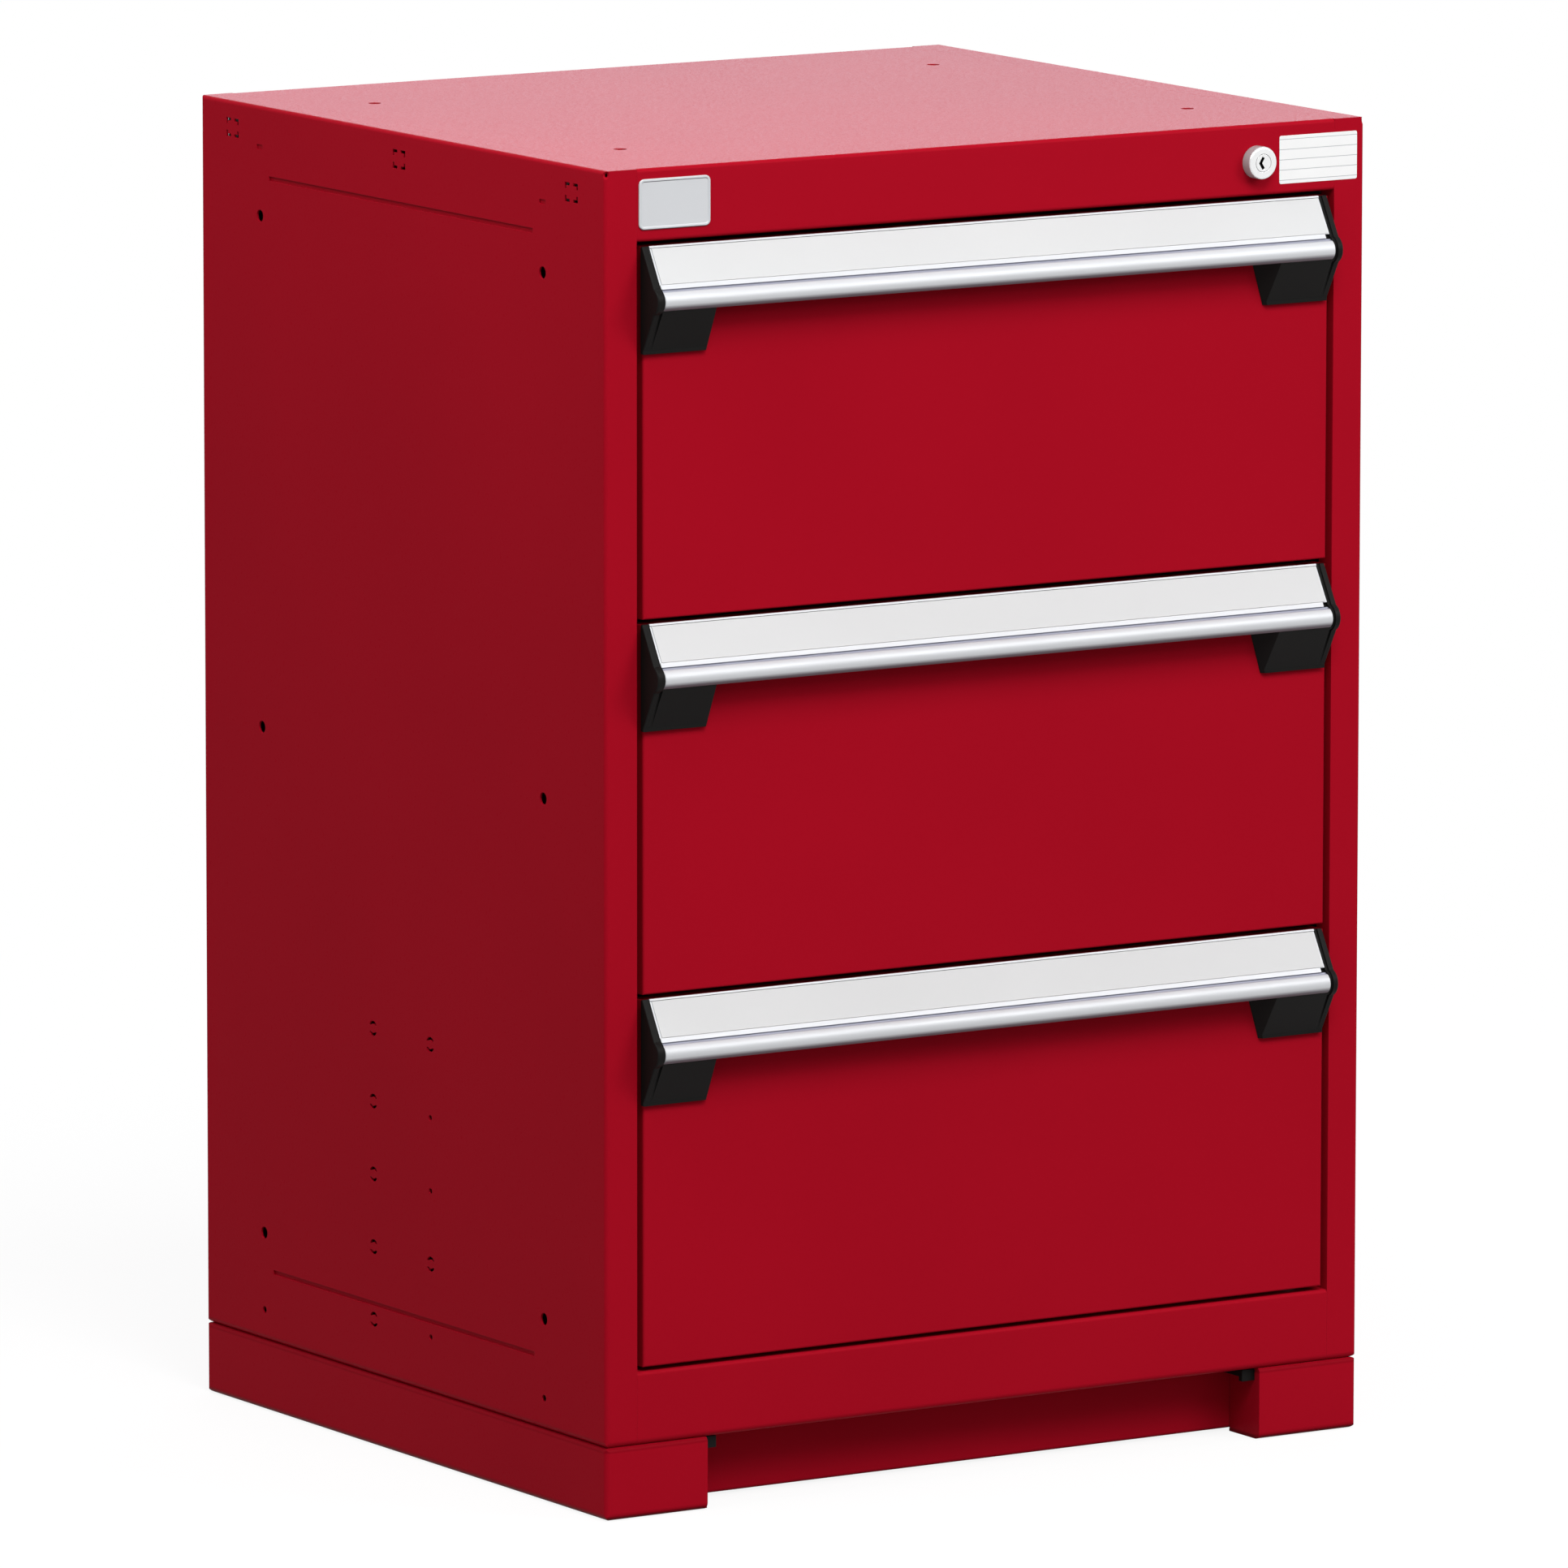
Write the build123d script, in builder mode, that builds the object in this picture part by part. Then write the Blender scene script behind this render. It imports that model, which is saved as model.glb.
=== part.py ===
from build123d import *
import os
from math import atan2, cos, degrees, radians, sin

# A free-standing drawer cabinet of folded steel sheet: three equal drawers on telescopic slides, a
# cylinder lock that works a lock bar for all the drawers, and a base with a recessed kick panel.
# Sizes are in mm. X runs across the front, Y from the front to the back and Z up. The origin is on
# the floor, in the middle of the whole box, handles included. Drawer 1 is the top one.

# Housing
WIDTH = 610.0
DEPTH = 533.0  # front frame to back, without the handles
HEIGHT = 914.0
SHEET = 1.5
BEND = 1.2  # inside radius of the frame, top and rear bends
FOOT_BEND = 3.0  # inside radius of the bends along the bottom edges
STILE = 24.6
HEADER = 49.0
BOTTOM_RAIL = 50.0
FRAME_RETURN = 16.0  # depth of the folds behind the frame, and of the drawer fronts
REAR_FLANGE = 25.0
CORNER_RELIEF = 3.0

# Holes and knock-outs in the side panels and the top
SIDE_BOLT = 8.5
SIDE_BOLT_INSET = 80.0
SIDE_BOLT_RISE = 356.0
LOW_HOLE = 5.0
LOW_HOLE_RISE = 21.5  # above the base
RING_KNOCKOUT = 10.5
RING_SPREAD = 76.0
RING_PITCH = 50.8
RING_ROWS = 5
RING_RISE = 39.0  # lowest row, above the base
PIN_HOLE = 4.0  # in the rows of the front column that have no ring
BOX_KNOCKOUT_LENGTH = 16.5
BOX_KNOCKOUT_HEIGHT = 13.0
BOX_KNOCKOUT_INSET = 43.0
BOX_KNOCKOUT_DROP = 18.5
TAB_MARK_LENGTH = 8.0
TAB_MARK_HEIGHT = 3.5
TAB_MARK_DROP = 28.4
TAB_MARK_DEPTH = 1.0
CREASE_WIDTH = 3.2
CREASE_DEPTH = 1.4
CREASE_INSET = 92.5
KNOCKOUT_LINE = 2.0
KNOCKOUT_BRIDGE = 4.5  # metal left between the slots around a knock-out
TOP_HOLE = 9.0
TOP_HOLE_FROM_SIDE = 76.0
TOP_HOLE_FRONT = 104.0  # from the front frame
TOP_HOLE_REAR = 107.0  # from the back

# Base
BASE_HEIGHT = 50.0
BASE_SHEET = 2.0
FOOT_WIDTH = 80.5
FOOT_FLANGE = 25.0
KICK_RECESS = 37.0
KICK_RETURN = 15.0
CLIP_WIDTH = 10.4
CLIP_HEIGHT = 8.0
CLIP_RECESS = 6.0  # behind the feet
CLIP_HEAD = 4.0
CLIP_SHANK = 5.0
CROSS_MEMBER_WIDTH = 34.0
CROSS_MEMBER_FROM_BOLT = 46.5
BASE_BOLT = 8.0
BASE_BOLT_HOLE = 8.6
BASE_BOLT_INSET = 100.0  # from the front and from the back
BASE_BOLT_FROM_SIDE = 14.0
BASE_BOLT_HEAD = 5.5
BASE_NUT = 6.5
BASE_BOLT_FLATS = 13.0
BASE_BOLT_END = 3.0  # thread past the nut

# Drawers
DRAWERS = 3
FRONT_GAP = 3.0  # above and below each drawer front
SIDE_GAP = 5.0
DRAWER_SHEET = 1.2
FRONT_EDGE = 1.4  # outside radius around the drawer front
FRONT_FLANGE = 25.0
BOX_BEND = 2.0
BOX_HEM = 8.0  # flange along the top of the box
BOX_RISE = 14.0  # box bottom above the lower edge of the front
BOX_DROP = 26.0  # box top below the upper edge of the front
BUMPER_LENGTH = 36.0
BUMPER_RADIUS = 8.0
BUMPER_TIP = 5.5
BUMPER_INSET = 58.1  # from the side of the drawer box
BUMPER_RISE = 90.0  # above the lower edge of the front
REST_CLEARANCE = 0.3

# Handles
HANDLE_INSET = 6.4  # aluminium ends short of the edge of the drawer front
HANDLE_SHIFT = -2.2  # handles sit a little to the left of the middle
HANDLE_RISE = 0.8  # above the drawer front, to hide its rounded edge
HANDLE_WALL = 2.5
HANDLE_LAND = 0.8  # flat top edge
LABEL_DROP = 27.5
LABEL_OUT = 16.7
LABEL_RECESS = 0.7
LABEL_EDGE = 1.4  # rim above the label, and at its ends
LABEL_FOOT = 3.4  # rim below the label
NOTCH_LENGTH = 4.0  # in the lower rim, at the right end
LABEL_CARD = 0.5
LABEL_PLAY = 0.3
GROOVE_WIDTH = 1.6
GROOVE_DEPTH = 1.2
LIP_DROP = 41.8
LIP_OUT = 22.0
LIP_BELLY_DROP = 35.8
LIP_FOOT_OUT = 18.5
HANDLE_FLANGE_DROP = 22.0
SCREW = 5.0
SCREW_HEAD = 9.0
SCREW_HEAD_HEIGHT = 3.0
SCREW_PLAY = 0.2
SCREW_FROM_END = 44.6
SCREWS = 4

# End caps of the handles
CAP_WIDTH = 6.3  # past the end of the aluminium
CAP_TOP_OUT = 1.8
CAP_FACE_DROP = 26.7
CAP_FACE_OUT = 16.8
CAP_OUT = 22.5
CAP_EDGE = 0.8
CAP_STEP = 1.5  # the strip beside the aluminium lies back by this
CAP_STEP_WIDTH = 2.2
SPIGOT_LENGTH = 12.0
SPIGOT_PLAY = 0.3
GUSSET_TOP_DROP = 44.3
GUSSET_TOP_OUT = 17.2
GUSSET_FOOT_DROP = 69.7
GUSSET_END_DROP = 72.2
GUSSET_FOOT_OUT = 3.2
GUSSET_REACH = 59.7  # from the outer end, where its inner edge meets the drawer front
GUSSET_LEAN_OUT = 0.65  # the inner edge runs back towards the end by this, per mm outwards
GUSSET_LEAN_DOWN = 0.29  # and by this, per mm downwards

# Slides
TRAVEL = 440.0
RAIL_HEIGHT = 32.0
RAIL_SHEET = 2.0
RAIL_BEND = 1.0
RAIL_RISE = 46.0  # middle of the slide above the lower edge of the drawer front
CABINET_RAIL_WIDTH = 16.0
DRAWER_RAIL_WIDTH = 12.0
RAIL_GAP = 1.5  # either side of the intermediate rail
MID_SHEET = 3.0
MID_HEIGHT = 30.0
MID_CORNER = 6.0
MID_CLEARANCE = 5.0  # to the stile that it passes
RAIL_BACK_GAP = 33.0  # rear end of the cabinet rails to the back
MID_SHORTER = 20.0
DRAWER_RAIL_SHORTER = 10.0
GLIDE_LENGTH = 36.0
GLIDE_MARGIN = 2.0
GLIDE_PLAY = 0.3
GLIDE_SIDE_PLAY = 0.5
STUD = 8.0
STUD_PLAY = 0.1
UPRIGHT_WIDTH = 30.0
UPRIGHT_SHEET = 2.0
UPRIGHT_SLOT_WIDTH = 5.0
UPRIGHT_SLOT_HEIGHT = 12.0
UPRIGHT_SLOT_PITCH = 25.4

# Lock
LOCK_FROM_SIDE = 89.0
LOCK_BELOW_MIDDLE = 1.2  # below the middle of the header
LOCK_FACE = 22.5
LOCK_STANDOUT = 9.0
LOCK_EDGE = 1.6
LOCK_BODY = 18.0
LOCK_FIT = 0.3
LOCK_NUT_FLATS = 25.0
LOCK_NUT_HEIGHT = 5.0
LOCK_PLUG = 12.0
KEYWAY_WIDTH = 2.2
KEYWAY_HEIGHT = 8.0
KEYWAY_KINK = 2.4
KEYWAY_DEPTH = 6.0
RUN_CLEARANCE = 0.3
CAM_SHEET = 2.5
CAM_HUB = 14.0
CAM_RADIUS = 12.0
CAM_START = 45.0  # degrees above level at rest; locked is as far below
CAM_PIN = 5.0
CAM_PIN_PLAY = 0.7
CAM_PIN_END = 1.0
CAM_ARM = 9.0
CAM_SCREW = 4.0
CAM_SCREW_HEAD = 8.0
CAM_SCREW_HEIGHT = 2.5
CAM_SCREW_DEPTH = 5.0
CAM_SCREW_GAP = 1.0  # to the lock bar
BAR_SHEET = 2.5
BAR_WIDTH = 15.0
BAR_GAP = 4.5  # behind the frame folds
BAR_SIDE_GAP = 4.4  # from the opening
BAR_WEB = 5.0  # metal around the slot
LUG_HEIGHT = 14.0
LUG_OVERLAP = 11.0  # how far a lug reaches over the catch, sideways
CATCH_RISE = 20.0  # above the middle of the slide
CATCH_HEIGHT = 14.0
CATCH_LENGTH = 35.0
CATCH_SHEET = 2.5
CATCH_THICKNESS = 5.0
CATCH_GAP = 2.0  # behind the lock bar
CATCH_CLEARANCE = 2.0  # under a lug at rest
CATCH_SIDE_GAP = 2.6  # to the opening
GUIDE_WALL = 2.5
GUIDE_PLAY = 0.5
GUIDE_HEIGHT = 16.0
UPRIGHT_GAP = 4.0  # uprights behind the catches

# Places that follow from these sizes
SIDE = WIDTH / 2
INSIDE = SIDE - SHEET
OPENING = SIDE - STILE
FRONT = (CAP_OUT - DEPTH) / 2
BACK = FRONT + DEPTH
MIDDLE = (FRONT + BACK) / 2
SHELL_HEIGHT = HEIGHT - BASE_HEIGHT
SHELL_MIDDLE = BASE_HEIGHT + SHELL_HEIGHT / 2
TOP_HOLE_PITCH = DEPTH - TOP_HOLE_FRONT - TOP_HOLE_REAR
CROSS_MEMBER_PITCH = DEPTH - 2 * (BASE_BOLT_INSET + CROSS_MEMBER_FROM_BOLT)

OPENING_HEIGHT = SHELL_HEIGHT - HEADER - BOTTOM_RAIL
FRONT_HEIGHT = (OPENING_HEIGHT - (DRAWERS + 1) * FRONT_GAP) / DRAWERS
DRAWER_PITCH = FRONT_HEIGHT + FRONT_GAP
FRONT_HALF = OPENING - SIDE_GAP
HANDLE_HALF = FRONT_HALF - HANDLE_INSET
SCREW_PITCH = 2 * (HANDLE_HALF - SCREW_FROM_END) / (SCREWS - 1)

BAR_FRONT = FRAME_RETURN + BAR_GAP
BAR_BACK = BAR_FRONT + BAR_SHEET
CATCH_FRONT = BAR_BACK + CATCH_GAP
CATCH_BACK = CATCH_FRONT + CATCH_THICKNESS
RAIL_FRONT = CATCH_BACK + UPRIGHT_GAP
RAIL_BACK = DEPTH - RAIL_BACK_GAP
MID_BACK = RAIL_BACK - MID_SHORTER
DRAWER_RAIL_BACK = RAIL_BACK - DRAWER_RAIL_SHORTER

MID_OUTER = OPENING - MID_CLEARANCE
MID_INNER = MID_OUTER - MID_SHEET
CABINET_RAIL_INNER = MID_OUTER + RAIL_GAP
UPRIGHT_FACE = CABINET_RAIL_INNER + CABINET_RAIL_WIDTH
DRAWER_RAIL_OUTER = MID_INNER - RAIL_GAP
BOX_HALF = DRAWER_RAIL_OUTER - DRAWER_RAIL_WIDTH
BACK_PANEL_FRONT = DEPTH - 2 * SHEET
BOX_BACK = BACK_PANEL_FRONT - BUMPER_LENGTH - REST_CLEARANCE

LOCK_X = SIDE - LOCK_FROM_SIDE
LOCK_Z = HEIGHT - HEADER / 2 - LOCK_BELOW_MIDDLE
CAM_BACK = BAR_FRONT - CAM_SCREW_GAP - CAM_SCREW_HEIGHT
CAM_FRONT = CAM_BACK - CAM_SHEET
LOCK_END = CAM_FRONT - RUN_CLEARANCE
PIN_OUT = CAM_RADIUS * cos(radians(CAM_START))
PIN_RISE = CAM_RADIUS * sin(radians(CAM_START))
BAR_INNER = OPENING + BAR_SIDE_GAP
CATCH_TIP = OPENING - CATCH_SIDE_GAP
LUG_TIP = CATCH_TIP - LUG_OVERLAP


def behind(depth):
    """Y of a point that lies this far behind the front frame."""
    return FRONT + depth


def facing(depth):
    """Plane parallel to the front frame and this far behind it; sketches there are in X and Z."""
    return Plane.XZ.offset(-behind(depth))


def front_bottom(drawer):
    """Z of the lower edge of a drawer front."""
    return HEIGHT - HEADER - drawer * DRAWER_PITCH


def handle_top(drawer):
    """Z of the upper edge of a drawer's handle."""
    return front_bottom(drawer) + FRONT_HEIGHT


def slide_middle(drawer):
    """Z of the middle of a drawer's slides."""
    return front_bottom(drawer) + RAIL_RISE


def save(piece, name):
    """Label a finished piece and write its STEP file."""
    piece.label = name
    export_step(piece, f"parts/{name}.step")


def mirrored(piece):
    """The same piece for the other side of the cabinet."""
    with BuildPart() as other_side:
        mirror(piece, about=Plane.YZ)
    return other_side.part


def bent_block(x_span, y_span, z_span, bend, foot):
    """Block whose outer edges are rounded: foot along the bottom, bend elsewhere; square at high X."""
    x_size, y_size, z_size = (high - low for low, high in (x_span, y_span, z_span))
    x_mid, y_mid, z_mid = (sum(span) / 2 for span in (x_span, y_span, z_span))
    reach = x_size + y_size + z_size + abs(x_mid) + abs(y_mid)
    with BuildPart() as block:
        with BuildSketch(Plane.XY.offset(z_span[0])):
            with Locations((x_mid, y_mid)):
                Rectangle(x_size, y_size)
            fillet(vertices().group_by(Axis.X)[0], bend)
        extrude(amount=z_size)
        with BuildSketch(Plane.XZ):
            with Locations((x_mid, z_mid)):
                Rectangle(x_size, z_size)
            fillet(vertices().group_by(Axis.X)[0].sort_by(Axis.Y)[0], foot)
            fillet(vertices().group_by(Axis.X)[0].sort_by(Axis.Y)[-1], bend)
        extrude(amount=reach, both=True, mode=Mode.INTERSECT)
        with BuildSketch(Plane.YZ):
            with Locations((y_mid, z_mid)):
                Rectangle(y_size, z_size)
            fillet(vertices().group_by(Axis.Y)[0], foot)
            fillet(vertices().group_by(Axis.Y)[-1], bend)
        extrude(amount=reach, both=True, mode=Mode.INTERSECT)
    return block.part


def tray(x_span, y_span, z_span, sheet):
    """Folded sheet tray that is open at its high X side."""
    outer = bent_block(x_span, y_span, z_span, BEND + sheet, FOOT_BEND + sheet)
    hollow_x = (x_span[0] + sheet, x_span[1] + sheet)
    hollow_y, hollow_z = ((low + sheet, high - sheet) for low, high in (y_span, z_span))
    hollow = bent_block(hollow_x, hollow_y, hollow_z, BEND, FOOT_BEND)
    with BuildPart() as shell:
        add(outer)
        add(hollow, mode=Mode.SUBTRACT)
    return shell.part


os.makedirs("parts", exist_ok=True)

# Side panels: trays with the front stile and its fold, bolt holes and knock-outs
pin_rows = [BASE_HEIGHT + RING_RISE + RING_PITCH * row for row in range(RING_ROWS)]
ring_front = MIDDLE - RING_SPREAD / 2
ring_rear = MIDDLE + RING_SPREAD / 2
crease_places = ((MIDDLE, HEIGHT - HEADER), (MIDDLE, BASE_HEIGHT + BOTTOM_RAIL))
side_tray = tray((-SIDE, -OPENING), (FRONT, BACK), (BASE_HEIGHT, HEIGHT), SHEET)
with BuildPart() as side_panel_left:
    add(side_tray)
    with BuildSketch(Plane.XY.offset(BASE_HEIGHT + SHEET)):
        with Locations((-OPENING, behind(SHEET))):
            Rectangle(SHEET, FRAME_RETURN - SHEET, align=(Align.MAX, Align.MIN))
    extrude(amount=SHELL_HEIGHT - 2 * SHEET)
    with BuildSketch(Plane.YZ.offset(-SIDE)):
        with Locations((MIDDLE, SHELL_MIDDLE)):
            with GridLocations(DEPTH - 2 * SIDE_BOLT_INSET, SIDE_BOLT_RISE, 2, 3):
                Circle(SIDE_BOLT / 2)
        with Locations((MIDDLE, BASE_HEIGHT + LOW_HOLE_RISE)):
            with GridLocations(DEPTH - 2 * SIDE_BOLT_INSET, 0, 2, 1):
                Circle(LOW_HOLE / 2)
        with Locations([(ring_front, pin_rows[row]) for row in (0, 2, 3)]):
            Circle(PIN_HOLE / 2)
    extrude(amount=2 * SHEET, mode=Mode.SUBTRACT)
    with BuildSketch(Plane.YZ.offset(-SIDE)):
        with Locations([(ring_rear, z) for z in pin_rows] + [(ring_front, pin_rows[row]) for row in (1, 4)]):
            Circle(RING_KNOCKOUT / 2)
            Circle(RING_KNOCKOUT / 2 - KNOCKOUT_LINE, mode=Mode.SUBTRACT)
            Rectangle(2 * RING_KNOCKOUT, KNOCKOUT_BRIDGE, mode=Mode.SUBTRACT)
    extrude(amount=2 * SHEET, mode=Mode.SUBTRACT)
    with BuildSketch(Plane.YZ.offset(-SIDE)):
        with Locations((MIDDLE, HEIGHT - BOX_KNOCKOUT_DROP)):
            with GridLocations(DEPTH / 2 - BOX_KNOCKOUT_INSET, 0, 3, 1):
                Rectangle(BOX_KNOCKOUT_LENGTH, BOX_KNOCKOUT_HEIGHT)
                Rectangle(
                    BOX_KNOCKOUT_LENGTH - 2 * KNOCKOUT_LINE,
                    BOX_KNOCKOUT_HEIGHT - 2 * KNOCKOUT_LINE,
                    mode=Mode.SUBTRACT,
                )
                Rectangle(2 * BOX_KNOCKOUT_LENGTH, KNOCKOUT_BRIDGE, mode=Mode.SUBTRACT)
                Rectangle(KNOCKOUT_BRIDGE, 2 * BOX_KNOCKOUT_HEIGHT, mode=Mode.SUBTRACT)
    extrude(amount=2 * SHEET, mode=Mode.SUBTRACT)
    with BuildSketch(Plane.YZ.offset(-SIDE)):
        with Locations((MIDDLE, HEIGHT - TAB_MARK_DROP)):
            with GridLocations(DEPTH - 2 * SIDE_BOLT_INSET, 0, 2, 1):
                RectangleRounded(TAB_MARK_LENGTH, TAB_MARK_HEIGHT, TAB_MARK_HEIGHT / 3)
    extrude(amount=TAB_MARK_DEPTH, mode=Mode.SUBTRACT)
    with BuildSketch(Plane.YZ.offset(SHEET / 2 - SIDE)):
        with Locations(*crease_places):
            Rectangle(DEPTH - 2 * (CREASE_INSET - SHEET), CREASE_WIDTH + 2 * SHEET)
    extrude(amount=CREASE_DEPTH + SHEET / 2)
    with BuildSketch(Plane.YZ.offset(-SIDE)):
        with Locations(*crease_places):
            Rectangle(DEPTH - 2 * CREASE_INSET, CREASE_WIDTH)
    extrude(amount=CREASE_DEPTH, mode=Mode.SUBTRACT)
    with BuildSketch(Plane.XY.offset(BASE_HEIGHT)):
        with Locations((BASE_BOLT_FROM_SIDE - SIDE, MIDDLE)):
            with GridLocations(0, DEPTH - 2 * BASE_BOLT_INSET, 1, 2):
                Circle(BASE_BOLT_HOLE / 2)
    extrude(amount=SHEET, mode=Mode.SUBTRACT)
    with Locations((-SIDE, FRONT, HEIGHT - BEND - SHEET)):
        Sphere(CORNER_RELIEF, mode=Mode.SUBTRACT)
save(side_panel_left.part, "side_panel_left")
save(mirrored(side_panel_left.part), "side_panel_right")

# Top panel: one sheet from the header fold over the top to the rear flange
with BuildPart() as top_panel:
    with BuildSketch(Plane.YZ.offset(-OPENING)):
        with BuildLine():
            FilletPolyline(
                (behind(FRAME_RETURN), HEIGHT - HEADER + SHEET / 2),
                (behind(SHEET / 2), HEIGHT - HEADER + SHEET / 2),
                (behind(SHEET / 2), HEIGHT - SHEET / 2),
                (BACK - SHEET / 2, HEIGHT - SHEET / 2),
                (BACK - SHEET / 2, HEIGHT - REAR_FLANGE),
                radius=BEND + SHEET / 2,
            )
        trace(line_width=SHEET)
    extrude(amount=2 * OPENING)
    with BuildSketch(Plane.XY.offset(HEIGHT)):
        with Locations((0, behind(TOP_HOLE_FRONT + TOP_HOLE_PITCH / 2))):
            with GridLocations(WIDTH - 2 * TOP_HOLE_FROM_SIDE, TOP_HOLE_PITCH, 2, 2):
                Circle(TOP_HOLE / 2)
    extrude(amount=-SHEET, mode=Mode.SUBTRACT)
    with BuildSketch(facing(0)):
        with Locations((LOCK_X, LOCK_Z)):
            Circle(LOCK_BODY / 2 + LOCK_FIT)
    extrude(amount=-SHEET, mode=Mode.SUBTRACT)
save(top_panel.part, "top_panel")

# Bottom panel: one sheet from the fold of the bottom rail under the drawers to the rear flange
with BuildPart() as bottom_panel:
    with BuildSketch(Plane.YZ.offset(-OPENING)):
        with BuildLine():
            FilletPolyline(
                (behind(FRAME_RETURN), BASE_HEIGHT + BOTTOM_RAIL - SHEET / 2),
                (behind(SHEET / 2), BASE_HEIGHT + BOTTOM_RAIL - SHEET / 2),
                (behind(SHEET / 2), BASE_HEIGHT + SHEET / 2),
                (BACK - SHEET / 2, BASE_HEIGHT + SHEET / 2),
                (BACK - SHEET / 2, BASE_HEIGHT + REAR_FLANGE),
                radius=(BEND + SHEET / 2, FOOT_BEND + SHEET / 2, FOOT_BEND + SHEET / 2),
            )
        trace(line_width=SHEET)
    extrude(amount=2 * OPENING)
save(bottom_panel.part, "bottom_panel")

# Back panel: a flat sheet inside the rear flanges
with BuildPart() as back_panel:
    back_low = BASE_HEIGHT + SHEET + FOOT_BEND
    back_high = HEIGHT - SHEET - BEND
    with BuildSketch(facing(BACK_PANEL_FRONT)):
        with Locations((0, (back_low + back_high) / 2)):
            Rectangle(2 * (INSIDE - BEND), back_high - back_low)
    extrude(amount=-SHEET)
save(back_panel.part, "back_panel")


def upright(front_depth):
    """Left upright: a slotted channel on the side panel that carries the cabinet rails."""
    low = BASE_HEIGHT + SHEET + FOOT_BEND
    high = HEIGHT - SHEET - BEND
    web = UPRIGHT_FACE + UPRIGHT_SHEET / 2
    near = behind(front_depth + UPRIGHT_SHEET / 2)
    far = behind(front_depth + UPRIGHT_WIDTH - UPRIGHT_SHEET / 2)
    slots = int((high - low) / UPRIGHT_SLOT_PITCH) - 1
    with BuildPart() as post:
        with BuildSketch(Plane.XY.offset(low)):
            with BuildLine():
                FilletPolyline(
                    (-INSIDE, near), (-web, near), (-web, far), (-INSIDE, far), radius=UPRIGHT_SHEET
                )
            trace(line_width=UPRIGHT_SHEET)
        extrude(amount=high - low)
        with BuildSketch(Plane.YZ.offset(-UPRIGHT_FACE)):
            with Locations(((near + far) / 2, (low + high) / 2)):
                with GridLocations(0, UPRIGHT_SLOT_PITCH, 1, slots):
                    Rectangle(UPRIGHT_SLOT_WIDTH, UPRIGHT_SLOT_HEIGHT)
        extrude(amount=-UPRIGHT_SHEET, mode=Mode.SUBTRACT)
    return post.part


# Uprights
for place, depth in (("front", RAIL_FRONT), ("rear", RAIL_BACK - UPRIGHT_WIDTH)):
    left_upright = upright(depth)
    save(left_upright, f"upright_{place}_left")
    save(mirrored(left_upright), f"upright_{place}_right")

# Base sides: trays with feet at the front and rear, whose inner ends are folded back to the kick panels
base_tray = tray((-SIDE, FOOT_WIDTH - SIDE), (FRONT, BACK), (0, BASE_HEIGHT), BASE_SHEET)
with BuildPart() as base_side_left:
    add(base_tray)
    with BuildSketch(Plane.XY):
        with Locations((FOOT_FLANGE - SIDE, MIDDLE)):
            Rectangle(FOOT_WIDTH, DEPTH - 2 * KICK_RECESS, align=(Align.MIN, Align.CENTER))
    extrude(amount=BASE_HEIGHT, mode=Mode.SUBTRACT)
    with BuildSketch(Plane.XY.offset(BASE_SHEET / 2)):
        with Locations((FOOT_WIDTH - SIDE, MIDDLE)):
            Rectangle(BASE_SHEET, DEPTH - BASE_SHEET, align=(Align.MAX, Align.CENTER))
            Rectangle(
                BASE_SHEET,
                DEPTH - 2 * (KICK_RECESS - REST_CLEARANCE),
                align=(Align.MAX, Align.CENTER),
                mode=Mode.SUBTRACT,
            )
    extrude(amount=BASE_HEIGHT - BASE_SHEET)
    with BuildSketch(Plane.XY.offset(BASE_HEIGHT)):
        with Locations((BASE_BOLT_FROM_SIDE - SIDE, MIDDLE)):
            with GridLocations(0, DEPTH - 2 * BASE_BOLT_INSET, 1, 2):
                Circle(BASE_BOLT_HOLE / 2)
    extrude(amount=-BASE_SHEET, mode=Mode.SUBTRACT)
save(base_side_left.part, "base_side_left")
save(mirrored(base_side_left.part), "base_side_right")


def base_channel(depth, width):
    """Folded channel across the base, between the flanges of its sides; negative width faces back."""
    low = 1.5 * BASE_SHEET
    high = BASE_HEIGHT - 1.5 * BASE_SHEET
    half_length = SIDE - BASE_SHEET - FOOT_BEND
    with BuildPart() as channel:
        with BuildSketch(Plane.YZ.offset(-half_length)):
            with BuildLine():
                FilletPolyline(
                    (behind(depth + width), high),
                    (behind(depth), high),
                    (behind(depth), low),
                    (behind(depth + width), low),
                    radius=BASE_SHEET,
                )
            trace(line_width=BASE_SHEET)
        extrude(amount=2 * half_length)
    return channel.part


# Kick panels and cross members of the base
KICK_MIDDLE = KICK_RECESS + BASE_SHEET / 2
save(base_channel(KICK_MIDDLE, KICK_RETURN), "kick_panel_front")
save(base_channel(DEPTH - KICK_MIDDLE, -KICK_RETURN), "kick_panel_rear")
with BuildPart() as base_cross_members:
    add(base_channel((DEPTH - CROSS_MEMBER_PITCH) / 2, CROSS_MEMBER_WIDTH))
    add(base_channel((DEPTH + CROSS_MEMBER_PITCH) / 2, -CROSS_MEMBER_WIDTH))
save(base_cross_members.part, "base_cross_members")

# Clips that hold the front kick panel, beside the feet
with BuildPart() as kick_panel_clips:
    clip_top = BASE_HEIGHT - BASE_SHEET / 2
    with BuildSketch(Plane.YZ.offset(SIDE - FOOT_WIDTH - CLIP_WIDTH)):
        with Locations((behind(CLIP_RECESS), clip_top)):
            Rectangle(CLIP_HEAD, CLIP_HEIGHT, align=(Align.MIN, Align.MAX))
            Rectangle(KICK_RECESS - CLIP_RECESS, CLIP_SHANK, align=(Align.MIN, Align.MAX))
    extrude(amount=CLIP_WIDTH)
    mirror(about=Plane.YZ)
save(kick_panel_clips.part, "kick_panel_clips")

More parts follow.
